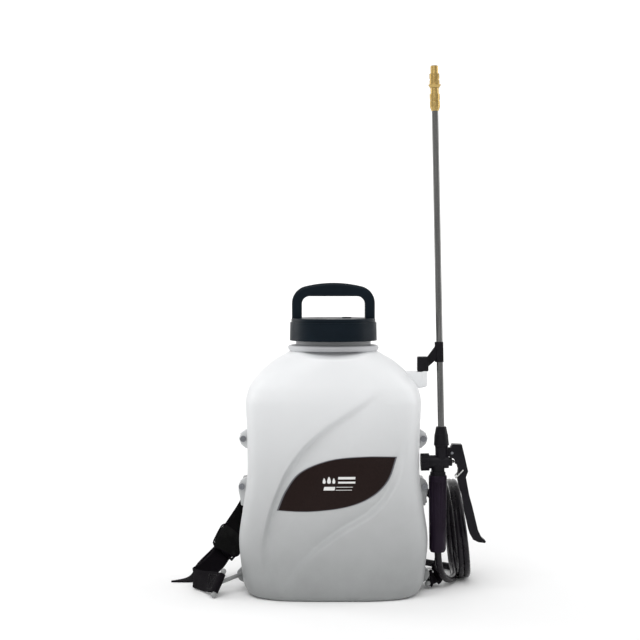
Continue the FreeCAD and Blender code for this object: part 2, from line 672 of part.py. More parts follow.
def nozzle_stem():
    stem = cylinder(6.3, TUBE_HIGH, 501.6).fuse(cylinder(4.0, 501, 526))
    return on_lance(stem.cut(cylinder(2.0, TUBE_HIGH - 1, 527)))


def nozzle_nut():
    body = turned([
        (TUBE_R, 468), (5.4, 468), (7.65, 474), (7.65, 482), (7.0, 482.7), (7.0, 484.3), (7.65, 485), (7.65, 493),
        (6.3, 493), (6.3, TUBE_HIGH), (TUBE_R, TUBE_HIGH),
    ])
    return on_lance(body)


def nozzle_tip():
    """Adjusting cap that turns on the stem."""
    body = turned([
        (4.06, 502), (7.0, 502), (9.35, 506), (9.35, 507), (7.5, 507.6), (7.5, 513), (6.9, 513.6), (6.9, 515),
        (7.5, 515.6), (7.5, 523), (5.75, 523.5), (5.75, 534), (4.8, 535), (0.8, 535), (0.8, 528), (4.06, 527),
    ])
    grooves = []
    for number in range(16):
        angle = 2 * math.pi * number / 16
        grooves.append(cylinder(0.7, 508, 522.5, 7.7 * math.cos(angle), 7.7 * math.sin(angle)))
    return on_lance(body.cut(Part.makeCompound(grooves)))


def lance_nut():
    """Union nut that clamps the lance into the valve."""
    body = turned([
        (TUBE_R + 0.1, -2), (7.7, -2), (9.7, -13), (10.2, -13.6), (11.2, -28), (11.4, -29.6), (9.8, -30), (9.8, -32),
        (8.4, -32), (8.4, -15.3), (TUBE_R + 0.1, -10.3),
    ])
    flutes = []
    for number in range(18):
        angle = 2 * math.pi * number / 18
        flutes.append(cylinder(0.9, -27, -14.5, 11.6 * math.cos(angle), 11.6 * math.sin(angle)))
    return on_lance(body.cut(Part.makeCompound(flutes)))


def lance_seal():
    return on_lance(turned([(TUBE_R, -15.5), (7.4, -15.5), (TUBE_R + 0.5, -11.3), (TUBE_R, -11.3)]))


# ---------------------------------------------------------------- trigger valve

def along_u(radius, start, end, w=BRANCH_Z):
    return rod(radius, V(start, 0, w), V(end, 0, w))


def gun_body():
    """Valve body: upper stem on the lance's axis, cross branch for the valve, and a lower stem on the grip's axis."""
    spigot = cylinder(8.4, -32, -15.5)
    stem = cylinder(9.4, -54, -32)
    branch = along_u(10.0, -19, 10)
    gland_seat = along_u(6.5, 9, 12)
    lug = prism([V(5, -4.7, -33), V(17, -4.7, -34), V(20, -4.7, -41), V(17, -4.7, -46.5), V(5, -4.7, -47)], V(0, 9.4, 0))
    upper = on_lance(stem.fuse([spigot, branch, gland_seat, lug]))
    lower = on_grip(cylinder(10.0, -70, -55).fuse([cylinder(5.2, -120, -70), cylinder(3.4, HOSE_START, -120)]))
    body = upper.fuse(lower)
    bores = [
        cylinder(TUBE_R, TUBE_LOW - 5.2, 0), cylinder(2.2, -56, -8), along_u(6.5, -20, -11.5), along_u(2.56, 3, 13),
        along_u(4.2, -11.6, 3.6), rod(2.0, V(-6, 0, -68), V(-15, 0, -58)),
        rod(2.0, V(PIVOT.x, -10, PIVOT.z), V(PIVOT.x, 10, PIVOT.z)),
    ]
    for bore in bores:
        body = body.cut(on_lance(bore))
    return body.cut(on_grip(cylinder(2.2, HOSE_START - 1, -66))).removeSplitter()


def valve_cap():
    """Ridged screw cap that closes the valve chamber and backs the spring."""
    body = along_u(13.0, -31.5, -19)
    body = body.cut(along_u(7.0, -28.0, -18))
    grooves = []
    for number in range(20):
        angle = 2 * math.pi * number / 20
        y, w = 13.4 * math.cos(angle), BRANCH_Z + 13.4 * math.sin(angle)
        grooves.append(rod(1.0, V(-30, y, w), V(-20.5, y, w)))
    return on_lance(body.cut(Part.makeCompound(grooves)))


def valve_rod():
    """Rod with its sealing disc; its domed end meets the lever."""
    shank = along_u(2.5, -12, 16.6)
    dome = Part.makeSphere(2.5, V(16.6, 0, BRANCH_Z))
    disc = along_u(5.4, -14.5, -12)
    return on_lance(shank.fuse([dome, disc]))


def valve_spring():
    helix = Part.makeHelix(2.5, 12.5, 4.0)
    section = Part.Wire(Part.makeCircle(0.45, V(4.0, 0, 0), Y_AXIS))
    coil = Part.Wire(helix).makePipeShell([section], True, True)
    coil.rotate(V(0, 0, 0), Y_AXIS, -90)
    coil.translate(V(-15.0, 0, BRANCH_Z))
    return on_lance(coil)


def gland_nut():
    body = along_u(6.8, 12, 15.2)
    return on_lance(body.cut(along_u(2.56, 11, 16)))


# profile of the lever as (u, w) in the lance frame: outer edge going down, then inner edge going up
LEVER_OUTER = [(11.5, -37.5), (16, -28), (30, -29), (33.5, -45), (38.5, -69), (35, -77.5), (39.5, -105), (43.6, -121),
               (51.5, -157), (56.7, -169), (63, -174.5)]
LEVER_INNER = [(62, -177), (51.7, -175.5), (44, -171.5), (40.5, -165), (38.2, -157), (32.8, -131), (28.9, -105),
               (25, -92), (22.6, -79), (24.3, -66), (21.5, -56), (17.5, -50), (11.5, -46.5)]
LEVER_ROOM = [(0, -36.5), (14, -31), (27, -32), (30.4, -45), (35, -69), (31.6, -78), (36.3, -105), (40.4, -121),
              (48, -157), (53, -169), (57, -173.5), (20, -190), (0, -120)]


def trigger_lever():
    """Channel-section lever with two cheeks astride the pivot lug."""
    outline = [V(u, -LEVER_HALF_WIDTH, w) for u, w in LEVER_OUTER + LEVER_INNER]
    solid = prism(outline, V(0, 2 * LEVER_HALF_WIDTH, 0))
    inside = LEVER_HALF_WIDTH - CHEEK
    room = prism([V(u, -inside, w) for u, w in LEVER_ROOM], V(0, 2 * inside, 0))
    lever = solid.cut(room)
    pad = block(19.6, 31.0, -inside - 0.5, inside + 0.5, BRANCH_Z - 3.2, BRANCH_Z + 3.2)
    lever = lever.fuse(pad)
    pin_hole = rod(2.05, V(PIVOT.x, -20, PIVOT.z), V(PIVOT.x, 20, PIVOT.z))
    bail_hole = rod(1.25, V(BAIL_PIVOT.x, -20, BAIL_PIVOT.z), V(BAIL_PIVOT.x, 20, BAIL_PIVOT.z))
    return on_lance(lever.cut(pin_hole).cut(bail_hole).removeSplitter())


def pivot_pin():
    pin = rod(2.0, V(PIVOT.x, -LEVER_HALF_WIDTH - 1, PIVOT.z), V(PIVOT.x, LEVER_HALF_WIDTH + 1, PIVOT.z))
    return on_lance(pin)


def lock_bail():
    """Wire bail that swings on the lever and hooks over the grip to hold the spray on."""
    side_y = LEVER_HALF_WIDTH + 1.6
    reach = BAIL_REACH / math.sqrt(2)
    far = V(BAIL_PIVOT.x - reach, 0, BAIL_PIVOT.z - reach)
    pieces = []
    for side in (-1, 1):
        y = side * side_y
        inner = V(BAIL_PIVOT.x, side * (LEVER_HALF_WIDTH - CHEEK + 0.4), BAIL_PIVOT.z)
        top = V(BAIL_PIVOT.x, y, BAIL_PIVOT.z)
        low = V(far.x, y, far.z)
        pieces += [rod(1.15, inner, top), Part.makeSphere(1.15, top), rod(1.15, top, low), Part.makeSphere(1.15, low)]
    pieces.append(rod(1.15, V(far.x, -side_y, far.z), V(far.x, side_y, far.z)))
    return on_lance(fuse_all(pieces))


def grip_collar():
    return on_grip(tube(11.6, 5.2, GRIP_TOP, -70.0))


def grip():
    """Fluted handgrip over the valve's tail, the hose enters it from below."""
    body = turned([
        (5.2, GRIP_TOP), (12.8, GRIP_TOP), (13.6, -77), (13.6, -92), (12.9, -150), (12.5, -186), (10.5, GRIP_LOW),
        (5.45, GRIP_LOW), (5.45, -122), (5.2, -120),
    ])
    flutes = []
    for number in range(14):
        angle = 2 * math.pi * number / 14
        flutes.append(cylinder(1.5, -183, -84, 14.1 * math.cos(angle), 14.1 * math.sin(angle)))
    return on_grip(body.cut(Part.makeCompound(flutes)))


# ---------------------------------------------------------------- hose

def cord_path(points):
    """Straight runs joined by tangent arcs, with each arc as large as its two runs allow."""
    edges = []
    radii = []
    start = points[0]
    length = 0.0
    for before, corner, after in zip(points, points[1:], points[2:]):
        inward = (corner - before).normalize()
        outward = (after - corner).normalize()
        turn = inward.getAngle(outward)
        back = 0.45 * min((corner - before).Length, (after - corner).Length)
        radius = back / math.tan(turn / 2)
        radii.append(round(radius, 1))
        first = corner - inward * back
        last = corner + outward * back
        bisector = (outward - inward).normalize()
        middle = corner + bisector * (radius / math.cos(turn / 2) - radius)
        edges.append(Part.LineSegment(start, first).toShape())
        edges.append(Part.Arc(first, middle, last).toShape())
        length += (first - start).Length + radius * turn
        start = last
    edges.append(Part.LineSegment(start, points[-1]).toShape())
    length += (points[-1] - start).Length
    return Part.Wire(edges), radii, length


def hose_tube(name, points):
    path, radii, length = cord_path(points)
    heading = points[1] - points[0]
    section = Part.Wire(Part.makeCircle(HOSE_R, points[0], heading))
    solid = path.makePipeShell([section], True, False)
    expected = math.pi * HOSE_R ** 2 * length
    print(name, "radii", radii, "length", round(length, 1), "volume ratio", round(solid.Volume / expected, 4))
    return solid


def hose_coil():
    """Outer shape of the standing turns of hose."""
    side = COIL_HALF_WIDTH
    profile = [V(COIL_INNER_R, 0, -side + 4), V(COIL_INNER_R, 0, side - 4), V(COIL_INNER_R + 4, 0, side),
               V(COIL_R - 4, 0, side), V(COIL_R, 0, side - 4), V(COIL_R, 0, -side + 4), V(COIL_R - 4, 0, -side),
               V(COIL_INNER_R + 4, 0, -side)]
    ring = Part.Face(Part.makePolygon(profile + profile[:1])).revolve(V(0, 0, 0), Z_AXIS, 360)
    ring.rotate(V(0, 0, 0), Y_AXIS, 90 - COIL_LEAN)
    ring.translate(COIL_CENTRE)
    return ring


def hose_lead():
    room = cylinder(3.4, HOSE_START, HOSE_START + 0.1)
    return hose_tube("hose_lead", HOSE_LEAD).cut(hose_coil()).cut(on_grip(room))


def hose_tail():
    solids = hose_tube("hose_tail", HOSE_TAIL).cut(hose_coil()).Solids
    return max(solids, key=lambda solid: solid.BoundBox.YMax)


# ---------------------------------------------------------------- harness

def ribbon(stations, width, thickness):
    """Flat strap through stations of (centre, direction of its width)."""
    wires = []
    last = len(stations) - 1
    for number, (centre, across) in enumerate(stations):
        ahead = stations[min(number + 1, last)][0] - stations[max(number - 1, 0)][0]
        side = across.normalize() * (width / 2)
        lift = ahead.cross(across).normalize() * (thickness / 2)
        corners = [centre + side + lift, centre - side + lift, centre - side - lift, centre + side - lift]
        wires.append(Part.makePolygon(corners + corners[:1]))
    return Part.makeLoft(wires, True, True)


# each station: centre of the strap, and the direction across it
LEFT_PAD = [
    (V(-45, 96, 304), V(-1, 0, 0)), (V(-47, 104, 280), V(-1, 0, 0)), (V(-58, 109, 236), V(-1, 0, 0.1)),
    (V(-85, 110, 185), V(-0.9, -0.1, 0.3)), (V(-112, 103, 144), V(-0.8, -0.3, 0.5)),
    (V(-134, 82, 106), V(-0.65, -0.42, 0.6)), (V(-157, 62, 70), V(-0.67, -0.25, 0.68)),
    (V(-167, 49, 48), V(-0.7, -0.05, 0.71)),
]
LEFT_WEB = [
    (V(-178, 44, 35.5), V(-0.6, 0, 0.8)), (V(-188, 28, 28), V(-0.4, 0, 0.92)),
    (V(-200, 14, 21.5), V(-0.15, 0, 1)), (V(-208.6, 7, 18.4), V(0, 0, 1)), (V(-211.2, 3.5, 17.8), V(0, 0, 1)),
    (V(-209.6, -0.5, 17.2), V(0, 0, 1)), (V(-203, -8, 16.8), V(0, 0, 1)), (V(-192, -20, 16.6), V(0.1, 0.1, 1)),
    (V(-181, -33.5, 19), V(0.25, 0.3, 0.92)), (V(-171.8, -44.6, 20.5), V(0.35, 0.45, 0.82)),
]
LEFT_TAIL = [
    (V(-177, 65, 39), V(-0.55, 0.1, 0.8)), (V(-187, 66, 29), V(-0.45, 0.2, 0.85)), (V(-200, 62, 18), V(-0.35, 0.5, 0.75)),
    (V(-214, 60, 8), V(-0.2, 0.8, 0.42)), (V(-230, 60, 2.6), V(0, 1, 0.06)), (V(-249, 61, 1.6), V(0.2, 1, 0)),
]
RIGHT_PAD = [
    (V(45, 96, 304), V(1, 0, 0)), (V(47, 104, 280), V(1, 0, 0)), (V(56, 109, 244), V(1, -0.05, -0.2)),
    (V(76, 112, 212), V(0.9, -0.3, -0.4)), (V(104, 109, 184), V(0.6, -0.8, -0.4)), (V(130, 94, 156), V(0.2, -1, 0)),
    (V(145, 76, 126), V(0.1, -1, 0)),
]
RIGHT_WEB = [
    (V(155.5, 68, 109), V(0.05, -1, 0)), (V(156.5, 60, 90), V(0, -1, 0)), (V(158, 48, 62), V(0, -1, 0)),
    (V(158.5, 36, 36), V(-0.2, -0.95, 0)), (V(156, 25.5, 21), V(-0.4, -0.9, 0)),
    (V(153.8, 18.2, 15.2), V(-0.45, -0.89, 0)),
]
HOOK_LEFT = {"centre": V(-169.5, -47, 20.5), "along": V(0.35, 0.45, 0.82), "leaves": -1}
HOOK_RIGHT = {"centre": V(151, 16, 9.2), "along": V(0.45, 0.89, 0), "leaves": 1}
LOCK_HALF_THICK = 2.0
WEB_OFF_LOCK = [(-2, 3.3), (9, 3.3)]
TAIL_OFF_LOCK = [(-6, 6.0), (3, 6.2)]
HOOK_BAR = 38.0
HOOK_ROD_R = 3.0
HOOK_PIN_R = 3.2


def strap_hook(side, bar):
    """Moulded hook: a headed pin through the tank's lug, a shank, and a knobbed crossbar for the webbing."""
    lug = V(side * LUG_X, LUG_Y, LUG_Z)
    out = V(0, bar["leaves"], 0)
    pin_end = lug + out * 9
    along = V(bar["along"]).normalize() * (HOOK_BAR / 2)
    pieces = [
        rod(HOOK_PIN_R, pin_end, lug - out * 6), rod(5.6, lug - out * 4, lug - out * 6.5),
        Part.makeSphere(HOOK_PIN_R, pin_end), rod(HOOK_ROD_R, pin_end, bar["centre"]),
        rod(HOOK_ROD_R, bar["centre"] - along, bar["centre"] + along),
    ]
    for end in (bar["centre"] - along, bar["centre"] + along):
        pieces.append(Part.makeSphere(HOOK_ROD_R + 1.2, end))
    return fuse_all(pieces)


def lock_frame(pad):
    """Centre of the buckle behind the end of a pad, and its directions across, down the pad and away from it."""
    end, across = pad[-1]
    across = V(across).normalize()
    lift = (end - pad[-2][0]).cross(across).normalize()
    drop = across.cross(lift).normalize()
    if lift.y < 0:
        lift = lift * -1
    return end - drop * 7 + lift * (PAD_THICK / 2 + 3.9), across, drop, lift


def off_lock(pad, places):
    """Strap stations on the buckle, each given as (distance down, distance out) from its centre."""
    centre, across, drop, lift = lock_frame(pad)
    return [(centre + drop * down + lift * out, across) for down, out in places]


def ladder_lock(pad):
    """Adjusting buckle behind the end of a shoulder pad, from which the lower webbing runs on."""
    centre, across, drop, lift = lock_frame(pad)
    frame = block(-19, 19, -8, 8, -LOCK_HALF_THICK, LOCK_HALF_THICK)
    frame = frame.cut(block(-16, 16, -5.6, -1.2, -4, 4)).cut(block(-16, 16, 1.2, 5.6, -4, 4))
    side = drop.cross(lift)
    frame.Placement = FreeCAD.Placement(FreeCAD.Matrix(
        side.x, drop.x, lift.x, centre.x, side.y, drop.y, lift.y, centre.y,
        side.z, drop.z, lift.z, centre.z, 0, 0, 0, 1))
    return frame


def build_nodes():
    nodes = {
        "tank_shell": tank_shell(),
        "front_label": front_label(),
        "strainer_basket": strainer_basket(),
        "lid_gasket": lid_gasket(),
        "lid_cap": lid_cap(),
        "vent_valve": vent_valve(),
        "side_screws": side_screws(),
        "back_frame": back_frame(),
        "unit_housing": unit_housing(),
        "pump_cover": pump_cover(),
        "cover_screws": cover_screws(),
        "switch_bezel": switch_bezel(),
        "rocker_switch": rocker_switch(),
        "charge_socket": charge_socket(),
        "pump_head": pump_head(),
        "pump_diaphragm": pump_diaphragm(),
        "pump_motor": pump_motor(),
        "motor_rotor": motor_rotor(),
        "suction_pipe": suction_pipe(),
        "outlet_elbow": outlet_elbow(),
        "battery_case": battery_case(),
        "battery_cells": battery_cells(),
        "battery_button": battery_button(),
        "battery_terminals": battery_terminals(),
        "lance_clip": lance_clip(),
        "lance_tube": lance_tube(),
        "lance_nut": lance_nut(),
        "lance_seal": lance_seal(),
        "nozzle_stem": nozzle_stem(),
        "nozzle_nut": nozzle_nut(),
        "nozzle_tip": nozzle_tip(),
        "gun_body": gun_body(),
        "valve_cap": valve_cap(),
        "valve_spring": valve_spring(),
        "valve_rod": valve_rod(),
        "gland_nut": gland_nut(),
        "trigger_lever": trigger_lever(),
        "pivot_pin": pivot_pin(),
        "lock_bail": lock_bail(),
        "grip_collar": grip_collar(),
        "grip": grip(),
        "hose_lead": hose_lead(),
        "hose_coil": hose_coil(),
        "hose_tail": hose_tail(),
        "shoulder_pad_left": ribbon(LEFT_PAD, PAD_WIDTH, PAD_THICK),
        "shoulder_pad_right": ribbon(RIGHT_PAD, PAD_WIDTH, PAD_THICK),
        "strap_web_left": ribbon(off_lock(LEFT_PAD, WEB_OFF_LOCK) + LEFT_WEB, WEB_WIDTH, WEB_THICK),
        "strap_web_right": ribbon(off_lock(RIGHT_PAD, WEB_OFF_LOCK) + RIGHT_WEB, WEB_WIDTH, WEB_THICK),
        "strap_tail_left": ribbon(off_lock(LEFT_PAD, TAIL_OFF_LOCK) + LEFT_TAIL, WEB_WIDTH, WEB_THICK),
        "ladder_lock_left": ladder_lock(LEFT_PAD),
        "ladder_lock_right": ladder_lock(RIGHT_PAD),
        "strap_hook_left": strap_hook(-1, HOOK_LEFT),
        "strap_hook_right": strap_hook(1, HOOK_RIGHT),
    }
    return nodes


def main():
    os.makedirs("parts", exist_ok=True)
    for name, shape in build_nodes().items():
        if not shape.isValid() or not shape.Solids:
            print("CHECK", name, "valid", shape.isValid(), "solids", len(shape.Solids))
        shape.exportStep("parts/" + name + ".step")


main()
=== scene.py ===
"""Looks of the battery backpack sprayer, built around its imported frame.

The frame is in metres, +Z up, with the tank's front towards -Y. Shapes here are written in millimetres and
scaled when their mesh is made.
"""

import json
import math

import bmesh
import bpy
import numpy as np
from mathutils import Matrix, Vector


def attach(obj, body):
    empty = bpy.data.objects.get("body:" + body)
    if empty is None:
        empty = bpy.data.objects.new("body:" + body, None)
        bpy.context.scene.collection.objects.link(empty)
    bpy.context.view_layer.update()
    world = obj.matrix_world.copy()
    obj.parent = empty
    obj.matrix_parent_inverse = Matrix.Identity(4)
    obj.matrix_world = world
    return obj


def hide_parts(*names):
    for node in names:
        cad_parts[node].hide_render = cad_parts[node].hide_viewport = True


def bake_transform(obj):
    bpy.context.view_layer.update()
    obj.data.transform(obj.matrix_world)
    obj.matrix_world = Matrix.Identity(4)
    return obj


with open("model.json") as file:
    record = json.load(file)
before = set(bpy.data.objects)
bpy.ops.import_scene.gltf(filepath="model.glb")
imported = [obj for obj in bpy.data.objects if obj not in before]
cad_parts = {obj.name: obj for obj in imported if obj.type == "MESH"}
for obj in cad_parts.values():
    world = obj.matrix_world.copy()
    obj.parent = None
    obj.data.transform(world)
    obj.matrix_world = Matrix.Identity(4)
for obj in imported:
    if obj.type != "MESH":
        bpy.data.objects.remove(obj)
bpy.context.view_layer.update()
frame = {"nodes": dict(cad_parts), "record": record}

MM = 0.001
NODES = frame["nodes"]


# ---------------------------------------------------------------- node graphs

class Graph:
    """A material with one Principled shader, and short names for the nodes that feed it."""

    def __init__(self, name, vector=None):
        self.material = bpy.data.materials.new(name)
        self.material.use_nodes = True
        self.tree = self.material.node_tree
        self.shader = self.tree.nodes["Principled BSDF"]
        if vector is None:
            self.vector = self.tree.nodes.new("ShaderNodeTexCoord").outputs["Object"]
        else:
            attribute = self.tree.nodes.new("ShaderNodeAttribute")
            attribute.attribute_name = vector
            self.vector = attribute.outputs["Vector"]

    def put(self, socket, value):
        """Links an output to the socket, or writes a plain value on it."""
        if isinstance(value, bpy.types.NodeSocket):
            self.tree.links.new(value, socket)
        else:
            socket.default_value = value

    def set(self, **values):
        for key, value in values.items():
            self.put(self.shader.inputs[key.replace("_", " ")], value)

    def math(self, operation, first, second=0.0, third=0.0, clamp=False):
        made = self.tree.nodes.new("ShaderNodeMath")
        made.operation = operation
        made.use_clamp = clamp
        for socket, value in zip(made.inputs, (first, second, third)):
            self.put(socket, value)
        return made.outputs[0]

    def noise(self, scale, detail=3.0, roughness=0.55, vector=None):
        made = self.tree.nodes.new("ShaderNodeTexNoise")
        self.put(made.inputs["Vector"], vector or self.vector)
        self.put(made.inputs["Scale"], scale)
        self.put(made.inputs["Detail"], detail)
        self.put(made.inputs["Roughness"], roughness)
        return made.outputs["Fac"]

    def stretched(self, x, y, z):
        """The texture vector scaled apart along its axes."""
        made = self.tree.nodes.new("ShaderNodeMapping")
        self.put(made.inputs["Vector"], self.vector)
        self.put(made.inputs["Scale"], (x, y, z))
        return made.outputs[0]

    def split(self):
        made = self.tree.nodes.new("ShaderNodeSeparateXYZ")
        self.put(made.inputs[0], self.vector)
        return made.outputs[0], made.outputs[1], made.outputs[2]

    def ramp(self, value, low, high, to_low=0.0, to_high=1.0):
        made = self.tree.nodes.new("ShaderNodeMapRange")
        for socket, setting in zip(made.inputs, (value, low, high, to_low, to_high)):
            self.put(socket, setting)
        return made.outputs[0]

    def mix(self, factor, first, second):
        made = self.tree.nodes.new("ShaderNodeMix")
        made.data_type = "RGBA"
        self.put(made.inputs[0], factor)
        self.put(made.inputs[6], as_colour(first))
        self.put(made.inputs[7], as_colour(second))
        return made.outputs[2]

    def bump(self, height, distance):
        made = self.tree.nodes.new("ShaderNodeBump")
        self.put(made.inputs["Height"], height)
        made.inputs["Distance"].default_value = distance
        made.inputs["Strength"].default_value = 1.0
        self.set(Normal=made.outputs[0])


def as_colour(value):
    """A three-number colour with its alpha added; anything else as it is."""
    return (*value, 1.0) if isinstance(value, tuple) and len(value) == 3 else value


def moulded(name, colour, light, rough, grain=900.0, depth=0.00012, coat=0.0, shine=0.5):
    """Moulded plastic: a fine spark-eroded grain, cloudy colour, and patches handled smoother than the rest."""
    g = Graph(name)
    cloud = g.noise(28.0, 4.0)
    fine = g.noise(grain, 2.0)
    g.set(Base_Color=g.mix(g.ramp(cloud, 0.3, 0.7), colour, light))
    g.set(Roughness=g.ramp(g.noise(60.0, 4.0), 0.3, 0.7, rough - 0.06, rough + 0.08))
    g.bump(g.math("ADD", fine, g.math("MULTIPLY", g.noise(grain * 0.22), 0.8)), depth)
    g.set(Specular_IOR_Level=shine)
    if coat:
        g.set(Coat_Weight=coat, Coat_Roughness=0.25)
    return g.material


def tank_plastic():
    """Natural polyethylene, slightly translucent, with shade painted into its colour: darker towards the bottom, a
    painted shadow of the lid on the neck, and painted shade in the hollow under the collar.
    """
    g = Graph("tank_plastic")
    height = g.math("ADD", g.split()[2], g.math("MULTIPLY", g.noise(9.0), 0.012))
    # painted shade: the base colour darkens towards the bottom, as if lit from above
    base = g.mix(g.ramp(height, 0.012, 0.318), (0.272, 0.280, 0.280), (0.775, 0.785, 0.795))
    # painted shadow: the neck above the collar is darker, as if in the lid's shadow
    base = g.mix(g.ramp(height, 0.364, 0.376), base, (0.46, 0.465, 0.48))
    x, y, z = g.split()
    # painted shade: a crescent on the front under the collar is darkened, where the hollow lies in shade
    beside = g.math("POWER", g.math("DIVIDE", x, 0.060), 2.0)
    above = g.math("POWER", g.math("DIVIDE", g.math("SUBTRACT", z, 0.367), 0.0165), 2.0)
    hollow = g.math("SUBTRACT", g.math("SUBTRACT", 1.0, beside), above, clamp=True)
    hollow = g.math("MULTIPLY", hollow, g.math("LESS_THAN", y, 0.0))
    base = g.mix(g.math("MULTIPLY", hollow, 0.7), base, (0.25, 0.255, 0.27))
    g.set(Base_Color=g.mix(g.ramp(g.noise(45.0, 5.0), 0.35, 0.65, 0.0, 0.06), base, (0.62, 0.64, 0.65)))
    g.set(Roughness=g.ramp(g.noise(22.0, 4.0), 0.3, 0.7, 0.34, 0.46))
    g.set(Specular_IOR_Level=0.4, Subsurface_Weight=0.08, Subsurface_Scale=0.006)
    g.shader.inputs["Subsurface Radius"].default_value = (1.0, 1.0, 1.0)
    g.bump(g.math("ADD", g.noise(700.0, 2.0), g.math("MULTIPLY", g.noise(70.0, 3.0), 1.6)), 0.00013)
    return g.material


def brushed_metal(name, colour, dark, rough, along=(600.0, 600.0, 12.0), depth=0.00004):
    """Metal with fine drawn streaks, stretched by the scale given for each axis."""
    g = Graph(name)
    streak = g.noise(1.0, 4.0, 0.6, g.stretched(*along))
    g.set(Base_Color=g.mix(g.ramp(streak, 0.3, 0.7), dark, colour), Metallic=1.0)
    g.set(Roughness=g.ramp(g.noise(1.0, 3.0, 0.5, g.stretched(*along)), 0.3, 0.7, rough - 0.05, rough + 0.1))
    g.bump(streak, depth)
    return g.material


def brass():
    """Turned brass with lathe rings, and tarnish in patches."""
    g = Graph("brass")
    rings = g.noise(1.0, 3.0, 0.6, g.stretched(90.0, 90.0, 2600.0))
    stain = g.noise(160.0, 5.0, 0.65)
    g.set(Base_Color=g.mix(g.ramp(stain, 0.35, 0.7), (0.56, 0.40, 0.155), (0.38, 0.255, 0.085)), Metallic=1.0)
    g.set(Roughness=g.ramp(stain, 0.3, 0.7, 0.18, 0.34))
    g.bump(rings, 0.00008)
    return g.material


def rubber(name, colour, light, rough, grain=1500.0):
    """Matt elastomer, or thread, with a dusty bloom."""
    g = Graph(name)
    g.set(Specular_IOR_Level=0.25)
    g.set(Base_Color=g.mix(g.ramp(g.noise(40.0, 4.0), 0.35, 0.65), colour, light))
    g.set(Roughness=g.ramp(g.noise(90.0, 4.0), 0.3, 0.7, rough - 0.05, rough + 0.1))
    g.bump(g.noise(grain, 2.0), 0.00008)
    return g.material


def woven(name, colour, light, pitch_across, pitch_along, depth, rough=0.75):
    """Webbing: ribs across the strap, offset between yarns. The strip attribute holds (across, along, 0) in m."""
    g = Graph(name, vector="strip")
    across, along, _ = g.split()
    yarn = g.math("DIVIDE", across, pitch_across)
    pick = g.math("DIVIDE", along, pitch_along)
    shift = g.math("MULTIPLY", g.math("FLOOR", yarn), 0.5)
    over = g.math("ABSOLUTE", g.math("SINE", g.math("MULTIPLY", g.math("ADD", pick, shift), math.pi)))
    round_yarn = g.math("ABSOLUTE", g.math("SINE", g.math("MULTIPLY", yarn, math.pi)))
    height = g.math("MULTIPLY", g.math("POWER", over, 0.6), g.math("POWER", round_yarn, 0.5))
    fuzz = g.noise(2600.0, 3.0)
    # painted shade: the colour is darker between the yarns and lighter on their crowns, with random fuzz mixed in
    painted_shade_and_fuzz = g.math("ADD", g.math("MULTIPLY", height, 0.75), g.math("MULTIPLY", fuzz, 0.35), clamp=True)
    g.set(Base_Color=g.mix(painted_shade_and_fuzz, colour, light))
    g.set(Roughness=g.ramp(fuzz, 0.2, 0.8, rough - 0.1, rough + 0.1))
    g.set(Specular_IOR_Level=0.08)
    g.bump(g.math("ADD", height, g.math("MULTIPLY", fuzz, 0.2)), depth)
    return g.material


def pad_cloth(name, colour, light):
    """Nylon over foam: a fine crossed weave, paler where it is rubbed."""
    g = Graph(name)
    x, y, z = g.split()
    first = g.math("SINE", g.math("MULTIPLY", g.math("ADD", x, z), 2 * math.pi / 0.0011))
    second = g.math("SINE", g.math("MULTIPLY", g.math("SUBTRACT", z, g.math("ADD", x, y)), 2 * math.pi / 0.0011))
    weave = g.math("MULTIPLY", g.math("ADD", first, 1.0), g.math("ADD", second, 1.0))
    rubbed = g.ramp(g.noise(24.0, 5.0, 0.6), 0.4, 0.7)
    g.set(Base_Color=g.mix(rubbed, colour, light), Specular_IOR_Level=0.08)
    g.set(Roughness=g.ramp(g.noise(300.0, 3.0), 0.3, 0.7, 0.62, 0.85))
    g.bump(g.math("ADD", g.math("MULTIPLY", weave, 0.3), g.noise(1400.0, 2.0)), 0.00022)
    return g.material


def printed_film():
    """Dark brown print of the label's field."""
    g = Graph("label_print")
    g.set(Base_Color=g.mix(g.ramp(g.noise(500.0, 3.0), 0.35, 0.65), (0.010, 0.0038, 0.003), (0.014, 0.006, 0.005)))
    g.set(Roughness=g.ramp(g.noise(40.0, 4.0), 0.3, 0.7, 0.3, 0.42))
    g.bump(g.noise(350.0, 2.0), 0.00004)
    g.set(Specular_IOR_Level=0.14)
    return g.material


def hose_skin():
    """Glossy black hose with a fine grain, scuffed here and there."""
    g = Graph("hose_rubber")
    scuff = g.noise(70.0, 5.0, 0.65)
    g.set(Base_Color=g.mix(g.ramp(scuff, 0.45, 0.75), (0.0045, 0.003, 0.0055), (0.012, 0.010, 0.014)))
    g.set(Roughness=g.ramp(scuff, 0.35, 0.75, 0.22, 0.42))
    g.set(Coat_Weight=0.16, Coat_Roughness=0.14, Specular_IOR_Level=0.15)
    g.bump(g.noise(900.0, 2.0), 0.00005)
    return g.material


